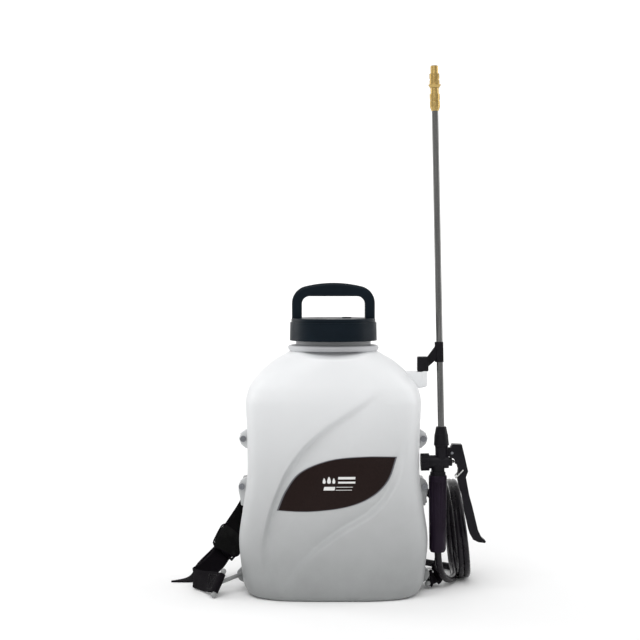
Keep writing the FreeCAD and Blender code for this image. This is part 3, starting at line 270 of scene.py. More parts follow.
BLACK = moulded("black_plastic", (0.004, 0.0035, 0.005), (0.009, 0.008, 0.011), 0.40, shine=0.14)
MATERIALS = {
    "tank_plastic": tank_plastic(),
    "label_print": printed_film(),
    "lid_plastic": moulded("lid_plastic", (0.0012, 0.0050, 0.0095), (0.0022, 0.0072, 0.0125), 0.40, 1100.0,
                           0.00008, shine=0.13),
    "black_plastic": BLACK,
    "grey_plastic": moulded("grey_plastic", (0.22, 0.225, 0.225), (0.32, 0.325, 0.325), 0.42),
    "white_plastic": moulded("white_plastic", (0.72, 0.73, 0.72), (0.80, 0.80, 0.79), 0.4),
    "grip_plastic": moulded("grip_plastic", (0.008, 0.0035, 0.0105), (0.013, 0.007, 0.017), 0.38, 1300.0,
                            shine=0.14),
    "seal_rubber": rubber("seal_rubber", (0.012, 0.012, 0.012), (0.024, 0.024, 0.024), 0.7),
    "hose_rubber": hose_skin(),
    "stainless": brushed_metal("stainless", (0.22, 0.22, 0.215), (0.13, 0.13, 0.13), 0.2),
    "zinc_steel": brushed_metal("zinc_steel", (0.30, 0.31, 0.33), (0.17, 0.175, 0.19), 0.34, (700.0, 40.0, 700.0)),
    "spring_steel": brushed_metal("spring_steel", (0.62, 0.62, 0.6), (0.42, 0.42, 0.41), 0.22,
                                  (300.0, 300.0, 300.0)),
    "brass": brass(),
    "copper": brushed_metal("copper", (0.66, 0.38, 0.2), (0.45, 0.24, 0.12), 0.3, (400.0, 60.0, 400.0)),
    "webbing": woven("webbing", (0.0015, 0.0012, 0.0018), (0.008, 0.006, 0.009), 0.0017, 0.0021, 0.0005),
    "pad_fabric": pad_cloth("pad_fabric", (0.0022, 0.002, 0.0022), (0.008, 0.0075, 0.008)),
    "cell_wrap": moulded("cell_wrap", (0.06, 0.2, 0.36), (0.08, 0.24, 0.42), 0.3, 700.0, 0.00004),
    "switch_red": moulded("switch_red", (0.42, 0.02, 0.015), (0.5, 0.035, 0.025), 0.28, 900.0, 0.00003, coat=0.3),
}
PAD_END = pad_cloth("pad_end_fabric", (0.007, 0.007, 0.007), (0.026, 0.026, 0.025))
THREAD = rubber("sewing_thread", (0.006, 0.006, 0.006), (0.03, 0.03, 0.03), 0.6, 4000.0)
PRINT_WHITE = moulded("print_white", (0.74, 0.74, 0.73), (0.82, 0.82, 0.81), 0.4, 1500.0, 0.00002)
RIM_FILM = moulded("rim_film", (0.10, 0.10, 0.115), (0.14, 0.14, 0.155), 0.4, 1500.0, 0.00002)

SLOTS = {row["node"]: row["material_slot"] for row in frame["record"]["subparts"]}
for node_name, cad_object in NODES.items():
    cad_object.data.materials.clear()
    cad_object.data.materials.append(MATERIALS[SLOTS[node_name]])


# ---------------------------------------------------------------- mesh helpers

def object_from(name, vertices, faces, material, body, replaced=(), strip=None):
    """Mesh object from millimetre vertices, riding on a body."""
    mesh = bpy.data.meshes.new(name)
    mesh.from_pydata([tuple(c * MM for c in v) for v in vertices], [], [tuple(f) for f in faces])
    mesh.materials.append(material)
    mesh.validate()
    if strip is not None:
        layer = mesh.attributes.new("strip", "FLOAT_VECTOR", "POINT")
        layer.data.foreach_set("vector", np.asarray(strip, np.float32).ravel())
    mesh.shade_smooth()
    mesh.set_sharp_from_angle(angle=math.radians(42))
    made = bpy.data.objects.new(name, mesh)
    bpy.context.scene.collection.objects.link(made)
    if body is not None:
        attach(made, body)
    if replaced:
        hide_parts(*replaced)
    return made


class Shape:
    """Vertices and faces in millimetres, gathered from several pieces."""

    def __init__(self):
        self.vertices = []
        self.faces = []

    def add(self, vertices, faces):
        base = len(self.vertices)
        self.vertices += [tuple(v) for v in vertices]
        self.faces += [[base + index for index in face] for face in faces]

    def add_bmesh(self, bm):
        bm.verts.ensure_lookup_table()
        bm.verts.index_update()
        self.add([tuple(v.co) for v in bm.verts], [[v.index for v in f.verts] for f in bm.faces])
        bm.free()


def grid_faces(rows, columns, closed):
    """Quads of a grid of rows by columns; closed joins the last column to the first."""
    faces = []
    span = columns if closed else columns - 1
    for row in range(rows - 1):
        for column in range(span):
            right = (column + 1) % columns
            faces.append([row * columns + column, row * columns + right,
                          (row + 1) * columns + right, (row + 1) * columns + column])
    return faces


def tube_faces(rings, sides):
    """Closed tube: side quads and two end caps."""
    faces = grid_faces(rings, sides, True)
    faces.append(list(range(sides))[::-1])
    faces.append([(rings - 1) * sides + index for index in range(sides)])
    return faces


def sweep(points, radius, sides=20):
    """Round tube along points, with a frame carried along so that it doesn't twist."""
    points = [Vector(p) for p in points]
    vertices = []
    side = None
    for number, point in enumerate(points):
        ahead = points[min(number + 1, len(points) - 1)] - points[max(number - 1, 0)]
        ahead.normalize()
        if side is None:
            side = ahead.orthogonal().normalized()
        side = (side - ahead * side.dot(ahead)).normalized()
        other = ahead.cross(side)
        for step in range(sides):
            angle = 2 * math.pi * step / sides
            vertices.append(point + (side * math.cos(angle) + other * math.sin(angle)) * radius)
    return vertices, tube_faces(len(points), sides)


def rounded_prism(outline, y0, y1, bevel, segments=3):
    """Prism between y0 and y1 on an (x, z) outline, with all its edges rounded."""
    bm = bmesh.new()
    low = [bm.verts.new((x, y0, z)) for x, z in outline]
    high = [bm.verts.new((x, y1, z)) for x, z in outline]
    count = len(outline)
    bm.faces.new(low)
    bm.faces.new(high[::-1])
    for index in range(count):
        after = (index + 1) % count
        bm.faces.new([low[after], low[index], high[index], high[after]])
    bmesh.ops.recalc_face_normals(bm, faces=bm.faces)
    bmesh.ops.bevel(bm, geom=list(bm.edges), offset=bevel, segments=segments, affect="EDGES", profile=0.5)
    return bm


def spline(points, steps):
    """Catmull-Rom line through points, with steps divisions between neighbours."""
    points = [Vector(p) for p in points]
    line = []
    for number in range(len(points) - 1):
        before = points[max(number - 1, 0)]
        first, second = points[number], points[number + 1]
        after = points[min(number + 2, len(points) - 1)]
        for step in range(steps):
            t = step / steps
            square = 2 * before - 5 * first + 4 * second - after
            cube = 3 * first - before - 3 * second + after
            line.append(0.5 * (2 * first + (second - before) * t + square * t * t + cube * t ** 3))
    line.append(points[-1].copy())
    return line


def smooth_step(value, low, high):
    """0 below low, 1 above high, and a smooth rise between."""
    t = np.clip((value - low) / (high - low), 0.0, 1.0)
    return t * t * (3 - 2 * t)


# ---------------------------------------------------------------- tank

# height, half width, half depth, squareness of the plan
TANK_SECTIONS = np.array([
    (0.0, 119.5, 76.5, 3.4), (1.5, 123.5, 79.0, 3.4), (6.0, 129.0, 81.5, 3.4), (20.0, 135.0, 83.0, 3.4),
    (40.0, 137.5, 83.5, 3.4), (79.0, 141.0, 85.0, 3.4), (130.0, 134.8, 85.0, 3.4), (188.0, 128.3, 84.5, 3.4),
    (240.0, 129.0, 84.5, 3.4), (285.0, 131.0, 84.5, 3.4), (306.0, 126.5, 82.0, 3.2), (328.0, 111.0, 77.0, 2.8),
    (347.5, 89.0, 72.0, 2.3), (357.0, 72.5, 69.0, 2.05), (361.5, 65.0, 65.0, 2.0),
])
TANK_TOP = 361.5
BASE_HALF_X, BASE_HALF_Y = 119.0, 76.0
WALL = 3.0
# the diagonal band's ledges on the front face, and the label's leaf between them, as (x, z)
BAND_UPPER = [(84, 316), (40, 285), (-19, 245), (-57, 205), (-84, 152), (-99, 99), (-101, 62), (-98, 2)]
BAND_LOWER = [(-67, 24), (-44, 59), (2, 97), (53, 129), (82, 162), (101, 209), (112, 268)]
LEAF_TOP = [(-83, 132), (-70, 162), (-48, 189), (-5, 206.5), (47, 211.5), (92, 210.5)]
LEAF_LOW = [(92, 210.5), (80, 176), (56, 152.5), (20, 138), (-30, 131.5), (-83, 132)]
RELIEF = 11.5
SETTLE = 45.0
CRESCENT_DEPTH = 9.0


def section_at(heights):
    """Half width, half depth and squareness at each height, by monotone cubic interpolation."""
    z = TANK_SECTIONS[:, 0]
    heights = np.clip(np.asarray(heights, float), z[0], z[-1])
    gaps = np.diff(z)
    place = np.clip(np.searchsorted(z, heights, side="right") - 1, 0, len(z) - 2)
    t = (heights - z[place]) / gaps[place]
    columns = []
    for column in range(1, 4):
        value = TANK_SECTIONS[:, column]
        slope = np.diff(value) / gaps
        tangent = np.zeros(len(z))
        tangent[0], tangent[-1] = slope[0], slope[-1]
        for index in range(1, len(z) - 1):
            if slope[index - 1] * slope[index] > 0:
                tangent[index] = 2 * slope[index - 1] * slope[index] / (slope[index - 1] + slope[index])
        low, high = value[place], value[place + 1]
        columns.append(
            (2 * t ** 3 - 3 * t ** 2 + 1) * low + (t ** 3 - 2 * t ** 2 + t) * gaps[place] * tangent[place]
            + (3 * t ** 2 - 2 * t ** 3) * high + (t ** 3 - t ** 2) * gaps[place] * tangent[place + 1])
    return columns


def nearest_on(curve, x, z):
    """Place along a curve, 0 to 1, and signed distance from it, positive to the left of its direction."""
    line = np.array([tuple(p) for p in spline([(px, pz, 0) for px, pz in curve], 16)])[:, :2]
    heading = np.gradient(line, axis=0)
    heading /= np.linalg.norm(heading, axis=1)[:, None]
    place = np.empty(len(x))
    distance = np.empty(len(x))
    for start in range(0, len(x), 4000):
        part = slice(start, start + 4000)
        dx = x[part, None] - line[None, :, 0]
        dz = z[part, None] - line[None, :, 1]
        best = np.argmin(dx * dx + dz * dz, axis=1)
        rows = np.arange(len(best))
        cross = heading[best, 0] * dz[rows, best] - heading[best, 1] * dx[rows, best]
        gap = np.hypot(dx[rows, best], dz[rows, best])
        inside = (best > 0) & (best < len(line) - 1)
        distance[part] = np.where(inside, cross, np.copysign(gap, cross))
        place[part] = best / (len(line) - 1)
    return place, distance


def front_relief(x, z):
    """How far the front face lies back: the diagonal band between two soft ledges, and the collar's hollow."""
    t_up, d_up = nearest_on(BAND_UPPER, x, z)
    t_low, d_low = nearest_on(BAND_LOWER, x, z)
    width_up = 9.0 + 12.0 * smooth_step(t_up, 0.60, 1.0) + 7.0 * (1 - smooth_step(t_up, 0.0, 0.2))
    width_low = 9.5 + 10.0 * smooth_step(t_low, 0.62, 0.95) + 6.0 * (1 - smooth_step(t_low, 0.0, 0.2))
    fade_up = smooth_step(t_up, 0.0, 0.22) * (1 - 0.4 * smooth_step(t_up, 0.58, 0.9))
    fade_low = smooth_step(t_low, -0.05, 0.12) * (1 - 0.45 * smooth_step(t_low, 0.72, 1.0))
    inside_up = smooth_step(d_up, -width_up * 0.5, width_up * 0.5) * fade_up
    inside_low = smooth_step(d_low, -width_low * 0.5, width_low * 0.5) * fade_low
    settle_up = 0.40 + 0.60 * np.exp(-np.clip(d_up, 0, None) / SETTLE)
    settle_low = 0.55 + 0.45 * np.exp(-np.clip(d_low, 0, None) / SETTLE)
    ends = smooth_step(z, 4.0, 30.0) * (1 - smooth_step(z, 285.0, 335.0) * smooth_step(x, 40.0, 120.0))
    swell = 0.9 * np.exp(-((d_up + 9.0) / 9.0) ** 2) * fade_up
    swell += 1.0 * np.exp(-((d_low + 9.0) / 9.0) ** 2) * fade_low
    crescent = np.clip(1 - (x / 60.0) ** 2 - ((z - 366.0) / 15.5) ** 2, 0.0, 1.0)
    band = RELIEF * inside_up * inside_low * np.maximum(settle_up, settle_low)
    return (band - swell) * ends + CRESCENT_DEPTH * smooth_step(crescent, 0.0, 0.9)


def tank_point(x, z):
    """Point of the tank's front face at (x, z), relief included."""
    x, z = np.asarray(x, float), np.asarray(z, float)
    half_x, half_y, power = section_at(z)
    y = -half_y * np.clip(1 - np.abs(x / half_x) ** power, 0, 1) ** (1 / power)
    return y + front_relief(x, z)


def tank_rows():
    """Rows of the tank's skin, from the base's centre, out and up, over the neck's rim and down inside."""
    rows = [(0.0, share * BASE_HALF_X, share * BASE_HALF_Y, 3.4, 0.0) for share in (0.02, 0.3, 0.6, 0.85)]
    heights = np.concatenate([np.linspace(0, 20, 14), np.linspace(23, 283, 120), np.linspace(285, TANK_TOP, 52)])
    for z, hx, hy, power in zip(heights, *section_at(heights)):
        rows.append((z, hx, hy, power, 1.0))
    for z, radius in ((363.0, 66.8), (364.6, 67.8), (366.5, 68.1), (368.2, 67.6), (369.4, 66.3), (370.0, 64.4),
                      (370.3, 58.4), (371.0, 56.8), (372.4, 56.2), (380.0, 56.0), (396.0, 56.0), (398.8, 55.8),
                      (399.7, 55.1), (400.0, 54.2), (400.0, 51.2), (399.4, 50.3), (398.0, 50.0), (380.0, 50.0),
                      (362.5, 50.0)):
        rows.append((z, radius, radius, 2.0, 0.0))
    inner = np.linspace(TANK_TOP - 2, 6, 40)
    for z, hx, hy, power in zip(inner, *section_at(inner)):
        rows.append((z, max(hx - WALL, 50.0), max(hy - WALL - RELIEF - 1.5, 50.0), power, 0.0))
    rows += [(4.0, share * 100.0, share * 58.0, 3.4, 0.0) for share in (0.9, 0.5, 0.02)]
    return rows


def tank_skin():
    """Skin of the blown tank as one closed shell."""
    front = np.linspace(-math.pi, 0, 340, endpoint=False)
    back = np.linspace(0, math.pi, 96, endpoint=False)
    angle = np.concatenate([front, back])
    rows = tank_rows()
    vertices = []
    for z, hx, hy, power, relief in rows:
        cosine, sine = np.cos(angle), np.sin(angle)
        reach = (np.abs(cosine / hx) ** power + np.abs(sine / hy) ** power) ** (-1 / power)
        x, y = reach * cosine, reach * sine
        if relief:
            facing = smooth_step(-sine * reach / hy, 0.55, 0.9)
            y = y + front_relief(x, np.full(len(x), z)) * facing
        vertices += list(zip(x, y, np.full(len(x), z)))
    shape = Shape()
    shape.add(vertices, tube_faces(len(rows), len(angle))[:-2] + [list(range(len(angle))),
              [(len(rows) - 1) * len(angle) + i for i in range(len(angle))][::-1]])
    return shape


def rear_recess(skin):
    """Cuts the space of the pump and battery unit out of the skin's lower rear."""
    bpy.ops.mesh.primitive_cube_add(size=1)
    cutter = bpy.context.object
    low = Vector((-93.0, 41.0, -20.0)) * MM
    high = Vector((93.0, 200.0, 135.0)) * MM
    cutter.location = (low + high) / 2
    cutter.scale = high - low
    bpy.context.view_layer.update()
    change = skin.modifiers.new("recess", "BOOLEAN")
    change.operation = "DIFFERENCE"
    change.solver = "EXACT"
    change.object = cutter
    graph = bpy.context.evaluated_depsgraph_get()
    cut = bpy.data.meshes.new_from_object(skin.evaluated_get(graph))
    skin.modifiers.clear()
    skin.data = cut
    bpy.data.objects.remove(cutter)


def tank_details():
    """Tabs, lugs, the lance clip's shelf and the neck's thread."""
    shape = Shape()
    for side in (-1, 1):
        upper = [(112, 245), (130.5, 243.5), (138.5, 238), (142, 229.5), (139, 221), (131.5, 214.5), (112, 211)]
        lower = [(116, 172), (131, 171), (138.5, 166.5), (142.4, 159.5), (142.6, 151), (140.4, 141),
                 (138.5, 128), (116, 128)]
        ear = [(120, 43), (133.5, 41), (138, 35), (144.8, 28), (145.2, 21), (141, 14.5), (132, 10), (120, 10)]
        for outline, half in ((upper, 5.0), (lower, 5.0), (ear, 3.4)):
            points = [(side * x, z) for x, z in outline]
            shape.add_bmesh(rounded_prism(points, -half, half, 1.5))
    shelf = [(100, 306), (131, 306.5), (138, 308.5), (138.4, 330.6), (112, 331), (100, 328)]
    shape.add_bmesh(rounded_prism(shelf, -21.0, -3.0, 1.8))
    rib = [(132.4, 308.6), (139.2, 309.2), (139.2, 331.6), (132.4, 331.4)]
    shape.add_bmesh(rounded_prism(rib, -22.0, -2.0, 1.2))
    turns, steps = 1.5, 96
    rings = []
    for step in range(int(turns * steps) + 1):
        angle = 2 * math.pi * step / steps
        fade = min(1.0, step / 10, (turns * steps - step) / 10)
        z = 378.0 + 8.0 * step / steps
        for radius, rise in ((55.6, -1.7), (56.0 + 2.5 * fade, -0.9), (56.0 + 2.5 * fade, 0.9), (55.6, 1.7)):
            rings.append((radius * math.cos(angle), radius * math.sin(angle), z + rise))
    shape.add(rings, tube_faces(int(turns * steps) + 1, 4))
    return shape


skin = tank_skin()
tank = object_from("tank_skin", skin.vertices, skin.faces, MATERIALS["tank_plastic"], None)
rear_recess(tank)
tank.data.shade_smooth()
tank.data.set_sharp_from_angle(angle=math.radians(50))
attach(tank, "tank")
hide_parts("tank_shell")
details = tank_details()
object_from("tank_tabs", details.vertices, details.faces, MATERIALS["tank_plastic"], "tank")


# ---------------------------------------------------------------- label

def film(name, low, high, layers, lift, material, replaced=()):
    """Film on the tank's front between two curves z(x), given as rows from low to high."""
    vertices = []
    rows, columns = layers + 1, len(low)
    for row in range(rows):
        share = row / layers
        x = low[:, 0] * (1 - share) + high[:, 0] * share
        z = low[:, 1] * (1 - share) + high[:, 1] * share
        y = tank_point(x, z) - lift
        vertices += list(zip(x, y, z))
    count = len(vertices)
    back = [(x, y + lift + 0.15, z) for x, y, z in vertices]
    faces = grid_faces(rows, columns, False)
    under = [[count + index for index in face[::-1]] for face in faces]
    rim = list(range(columns))
    rim += [row * columns + columns - 1 for row in range(1, rows)]
    rim += [(rows - 1) * columns + i for i in range(columns - 2, -1, -1)]
    rim += [row * columns for row in range(rows - 2, 0, -1)]
    sides = [[after, here, count + here, count + after] for here, after in zip(rim, rim[1:] + rim[:1])]
    object_from(name, vertices + back, faces + under + sides, material, "tank", replaced)


def leaf_rows(inset):
    """Matching points on the leaf's lower and upper edges, from its left tip to its right tip."""
    top = np.array([tuple(p)[:2] for p in spline([(x, z, 0) for x, z in LEAF_TOP], 30)])
    low = np.array([tuple(p)[:2] for p in spline([(x, z, 0) for x, z in LEAF_LOW], 30)])[::-1]
    middle = (top + low) / 2
    for edge in (top, low):
        toward = middle - edge
        gap = np.linalg.norm(toward, axis=1)[:, None]
        edge += toward / np.maximum(gap, 1e-6) * np.minimum(inset, gap * 0.9)
    shrink = 1 - 1.6 * inset / 172.0
    top[:, 0] = 5 + (top[:, 0] - 5) * shrink
    low[:, 0] = 5 + (low[:, 0] - 5) * shrink
    return low, top


RIM_LIFT, FIELD_LIFT, PRINT_LIFT = 0.40, 0.80, 0.95
RIM_WIDTH = 1.3
LEAF_LAYERS = 32
low_edge, top_edge = leaf_rows(0.0)
film("label_rim", low_edge, top_edge, LEAF_LAYERS, RIM_LIFT, RIM_FILM, ("front_label",))
low_edge, top_edge = leaf_rows(RIM_WIDTH)
film("label_field", low_edge, top_edge, LEAF_LAYERS, FIELD_LIFT, MATERIALS["label_print"])


def printed_patch(outline_low, outline_high):
    """Two matching rows of (x, z) points, as arrays."""
    return np.array(outline_low, float), np.array(outline_high, float)


def printed_bar(name, x0, x1, z0, z1, slant):
    """Bar of white print, its upper edge shifted by the slant."""
    x = np.linspace(x0, x1, 16)
    low, high = printed_patch([(v, z0) for v in x], [(v + slant, z1) for v in x])
    film(name, low, high, 2, PRINT_LIFT, PRINT_WHITE)


def printed_drop(name, centre_x, base_z, size):
    """Drop shape: a round base drawn up to a point."""
    turn = np.linspace(0, math.pi, 14)
    half = size * 0.36 * np.sin(turn) ** 0.8 * (0.35 + 0.65 * (1 + np.cos(turn)) / 2)
    z = base_z + size * (1 - np.cos(turn)) / 2
    low, high = printed_patch(list(zip(centre_x - half, z)), list(zip(centre_x + half, z)))
    film(name, low, high, 3, PRINT_LIFT, PRINT_WHITE)


for number, size in enumerate((8.0, 10.0, 8.0)):
    printed_drop(f"print_drop_{number}", -14.0 + 7.0 * number, 172.4, size)
printed_bar("print_bar_upper", 6.0, 31.0, 178.6, 182.2, 0.4)
printed_bar("print_bar_middle", 6.0, 31.0, 172.6, 175.4, 0.4)
printed_bar("print_block_lower", -15.0, 1.0, 162.6, 167.8, 1.2)
printed_bar("print_line_lower", 2.6, 26.0, 162.6, 163.4, 0.3)
printed_bar("print_line_upper", 3.6, 27.2, 166.9, 167.7, 0.3)


# ---------------------------------------------------------------- hose

HOSE_R = 5.25
COIL_Y = 81.0
COIL_MEAN_R = 72.2
COIL_LIFT = 0.35
LEAD_ROUTE = [(156.4, -12.0, 78.04), (156.6, -12.0, 47.5), (162.8, -0.5, 24.0), (173.5, 20.5, 10.5),
              (184.0, 46.0, 5.6), (188.0, 65.0, 5.6)]
TAIL_ROUTE = [(209.0, 116.0, 5.6), (177.0, 148.0, 5.6), (130.0, 148.0, 13.0), (104.0, 148.0, 16.0),
              (84.0, 148.0, 16.0)]
COIL_TURNS = 2
TURN_POINTS = 16


def coil_route():
    """Standing turns that start at the lead's end and finish where the tail leaves along the ground."""
    points = [LEAD_ROUTE[-1]]
    for step in range(COIL_TURNS * TURN_POINTS + 1):
        turned = step / TURN_POINTS
        angle = 2 * math.pi * turned
        high = (1 - math.cos(angle)) / 2
        radius = COIL_MEAN_R - high * 2.2 * math.sin(1.7 * angle + 0.5)
        bottom_x = 190.0 + 9.5 * turned
        top_x = 181.0 + 5.5 * turned
        x = bottom_x + (top_x - bottom_x) * high
        z = HOSE_R + COIL_LIFT + COIL_MEAN_R - radius * math.cos(angle)
        points.append((x, COIL_Y + radius * math.sin(angle), z))
    return points + TAIL_ROUTE


def nurbs(name, route):
    """NURBS curve of order 3 through its end points, in metres."""
    data = bpy.data.curves.new(name, "CURVE")
    data.dimensions = "3D"
    line = data.splines.new("NURBS")
    line.points.add(len(route) - 1)
    for point, place in zip(line.points, route):
        point.co = (place[0] * MM, place[1] * MM, place[2] * MM, 1.0)
    line.order_u = 3
    line.use_endpoint_u = True
    line.resolution_u = 10
    return data


def line_points(route):
    """Points in metres along the smooth line of a route."""
    made = bpy.data.objects.new("route", nurbs("route", route))
    bpy.context.scene.collection.objects.link(made)
    mesh = bpy.data.meshes.new_from_object(made)
    points = [v.co.copy() for v in mesh.vertices]
    bpy.data.objects.remove(made)
    bpy.data.meshes.remove(mesh)
    return points


def make_hose():
    """The lead, and the coil with its tail, both as cords."""
    coil_points = line_points(coil_route())
    data = nurbs("hose_run", coil_route())
    data.bevel_depth = HOSE_R * MM
    data.bevel_resolution = 7
    data.use_fill_caps = True
    data.materials.append(MATERIALS["hose_rubber"])
    run = bpy.data.objects.new("hose_run", data)
    bpy.context.scene.collection.objects.link(run)
    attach(run, "tank")
    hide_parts("hose_coil", "hose_tail")
    lead_points = line_points(LEAD_ROUTE)
    vertices, faces = sweep([p / MM for p in lead_points], HOSE_R, 32)
    lead = object_from("hose_lead_skin", vertices, faces, MATERIALS["hose_rubber"], None,
                       ("hose_lead",))
    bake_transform(lead)


make_hose()


# ---------------------------------------------------------------- harness

PAD_WIDTH, PAD_THICK = 42.0, 5.0
WEB_WIDTH, WEB_THICK = 30.0, 1.8
HOOK_BAR_R = 3.0
# stations of the straps: centre, and direction across the strap
LEFT_PAD = [
    ((-45, 96, 304), (-1, 0, 0)), ((-47, 104, 280), (-1, 0, 0)), ((-58, 109, 236), (-1, 0, 0.1)),
    ((-85, 110, 185), (-0.9, -0.1, 0.3)), ((-112, 103, 144), (-0.8, -0.3, 0.5)),
    ((-134, 82, 106), (-0.65, -0.42, 0.6)),
    ((-157, 62, 70), (-0.67, -0.25, 0.68)), ((-167, 49, 48), (-0.7, -0.05, 0.71)),
]
LEFT_WEB = [
    ((-178, 44, 35.5), (-0.6, 0, 0.8)), ((-188, 28, 28), (-0.4, 0, 0.92)), ((-200, 14, 21.5), (-0.15, 0, 1)),
    ((-208.6, 7, 18.4), (0, 0, 1)), ((-211.2, 3.5, 17.8), (0, 0, 1)), ((-209.6, -0.5, 17.2), (0, 0, 1)),
    ((-203, -8, 16.8), (0, 0, 1)), ((-192, -20, 16.6), (0.1, 0.1, 1)), ((-181, -33.5, 19), (0.25, 0.3, 0.92)),
]
LEFT_TAIL = [
    ((-249, 61, 1.6), (0.2, 1, 0)), ((-230, 60, 2.6), (0, 1, 0.06)), ((-214, 60, 8), (-0.2, 0.8, 0.42)),
    ((-200, 62, 18), (-0.35, 0.5, 0.75)), ((-187, 66, 29), (-0.45, 0.2, 0.85)),
    ((-177, 65, 39), (-0.55, 0.1, 0.8)),
]
RIGHT_PAD = [
    ((45, 96, 304), (1, 0, 0)), ((47, 104, 280), (1, 0, 0)), ((56, 109, 244), (1, -0.05, -0.2)),
    ((76, 112, 212), (0.9, -0.3, -0.4)), ((104, 109, 184), (0.6, -0.8, -0.4)), ((130, 94, 156), (0.2, -1, 0)),
    ((145, 76, 126), (0.1, -1, 0)),
]
RIGHT_WEB = [
    ((155.5, 68, 109), (0.05, -1, 0)), ((156.5, 60, 90), (0, -1, 0)), ((158, 48, 62), (0, -1, 0)),
    ((158.5, 36, 36), (-0.2, -0.95, 0)), ((156, 25.5, 21), (-0.4, -0.9, 0)),
]
# the top loop through the frame's slot, as (y, z)
TOP_LOOP = [
    (97.5, 297), (95, 304), (91.5, 309.6), (87.9, 313.7), (85.3, 319), (84.7, 325.5), (86.2, 331.2), (89, 332.9),
    (92, 331.3), (93, 325), (94, 316), (98.6, 307), (102.4, 298), (105.4, 287),
]
# centre of each hook's bar, and the bar's direction
HOOK_LEFT = ((-169.5, -47, 20.5), (0.35, 0.45, 0.82))
HOOK_RIGHT = ((151, 16, 9.2), (0.45, 0.89, 0))


class Ribbon:
    """Centre line of a strap with its directions across and away, and the distance along it."""

    def __init__(self, stations, steps=8):
        centres = spline([centre for centre, _ in stations], steps)
        sides = spline([side for _, side in stations], steps)
        self.rows = []
        along = 0.0
        last = len(centres) - 1
        for number, (centre, side) in enumerate(zip(centres, sides)):
            ahead = (centres[min(number + 1, last)] - centres[max(number - 1, 0)]).normalized()
            side = (side - ahead * side.dot(ahead)).normalized()
            if number:
                along += (centre - centres[number - 1]).length
            self.rows.append((centre, side, ahead.cross(side), along))
        self.length = along

    def at(self, along, across=0.0, lift=0.0):
        number = 1
        while number < len(self.rows) - 1 and self.rows[number][3] < along:
            number += 1
        before, after = self.rows[number - 1], self.rows[number]
        share = (along - before[3]) / max(after[3] - before[3], 1e-6)
        side = before[1].lerp(after[1], share).normalized()
        away = before[2].lerp(after[2], share).normalized()
        return before[0].lerp(after[0], share) + side * across + away * lift


def webbing(name, ribbon, replaced, point=0.0):
    """Woven strap with rounded selvedges and a slight ripple. Its start narrows to a point over that length."""
    half, thick = WEB_WIDTH / 2, WEB_THICK / 2
    edge = [half, half - 0.12 * thick, half - 0.5 * thick, half - 1.2 * thick, half - 2.6 * thick]
    across = [-value for value in edge] + list(np.linspace(-9, 9, 7)) + edge[::-1]
    height = []
    for value in across:
        past = max(0.0, (abs(value) - (half - thick)) / thick)
        cord = 0.22 * math.exp(-((abs(value) - (half - 2 * thick)) / 1.2) ** 2)
        height.append(thick * math.sqrt(max(0.0, 1 - past * past)) + cord)
    ring = list(zip(across, height)) + [(value, -rise) for value, rise in list(zip(across, height))[-2:0:-1]]
    vertices, strip = [], []
    for centre, side, away, along in ribbon.rows:
        narrow = min(1.0, 0.12 + along / point) if point else 1.0
        for value, rise in ring:
            value = (half + value) * narrow - half
            ripple = 0.22 * math.sin(along / 8.5 + value / 6.0) + 0.12 * math.sin(along / 3.9 - value / 3.1)
            vertices.append(centre + side * value + away * (rise + ripple))
            strip.append((value * MM, along * MM, 0.0))
    faces = tube_faces(len(ribbon.rows), len(ring))
    object_from(name, vertices, faces, MATERIALS["webbing"], "tank", replaced, strip=strip)


def stitches(shape, ribbon, corners, lift, step=3.4, length=2.4):
    """Row of stitches between corners given as (across, along) on a strap."""
    for (u0, s0), (u1, s1) in zip(corners, corners[1:]):
        run = math.hypot(u1 - u0, s1 - s0)
        count = max(1, int(run / step))
        for number in range(count):
            points = []
            for share, rise in ((-0.5, -0.3), (-0.3, 0.12), (0.0, 0.2), (0.3, 0.12), (0.5, -0.3)):
                t = ((number + 0.5) * run / count + share * length) / run
                points.append(ribbon.at(s0 + (s1 - s0) * t, u0 + (u1 - u0) * t, lift + math.copysign(rise, lift)))
            shape.add(*sweep(points, 0.38, 6))


def crossed_box(start, stop):
    """Corners of a sewn box with its diagonals, between two places along the strap."""
    return [(-11, start), (11, start), (11, stop), (-11, stop), (-11, start), (11, stop), (11, start), (-11, stop)]


def bar_loop(stations, bar):
    """Stations with the strap taken round a hook's bar and laid back on itself. Gives also where the bar is."""
    centre, axis = Vector(bar[0]), Vector(bar[1]).normalized()
    near, far = Vector(stations[-1][0]), Vector(stations[-2][0])
    heading = centre - near
    heading = (heading - axis * heading.dot(axis)).normalized()
    away = heading.cross(axis)
    reach = HOOK_BAR_R + WEB_THICK / 2 + 0.15
    way = list(stations[:-2])
    way.append((far + away * 0.7, stations[-2][1]))
    way.append((near + away * 1.4, stations[-1][1]))
    way.append((centre - heading * 4 + away * (reach - 0.4), axis))
    before = len(way)
    for angle in (0, 45, 90, 135, 180):
        turn = math.radians(angle)
        way.append((centre + (away * math.cos(turn) + heading * math.sin(turn)) * reach, axis))
    way.append((centre - heading * 4 - away * (reach - 0.4), axis))
    way.append((near - away * 0.75, stations[-1][1]))
    way.append((near.lerp(far, 0.42) - away * 1.25, Vector(stations[-1][1]).lerp(Vector(stations[-2][1]), 0.42)))
    return way, before


def lock_frame(pad):
    """Centre of the buckle behind the end of a pad, and its directions across, down the pad and away from it."""
    end, across = Vector(pad[-1][0]), Vector(pad[-1][1]).normalized()
    lift = (end - Vector(pad[-2][0])).cross(across).normalized()
    drop = across.cross(lift).normalized()
    if lift.y < 0:
        lift = -lift
    return end - drop * 7 + lift * (PAD_THICK / 2 + 3.9), across, drop, lift


def through_lock(pad, places):
    """Stations round the buckle's bars, from (down the pad, away from it) pairs."""
    centre, across, drop, lift = lock_frame(pad)
    return [(centre + drop * down + lift * out, across) for down, out in places]


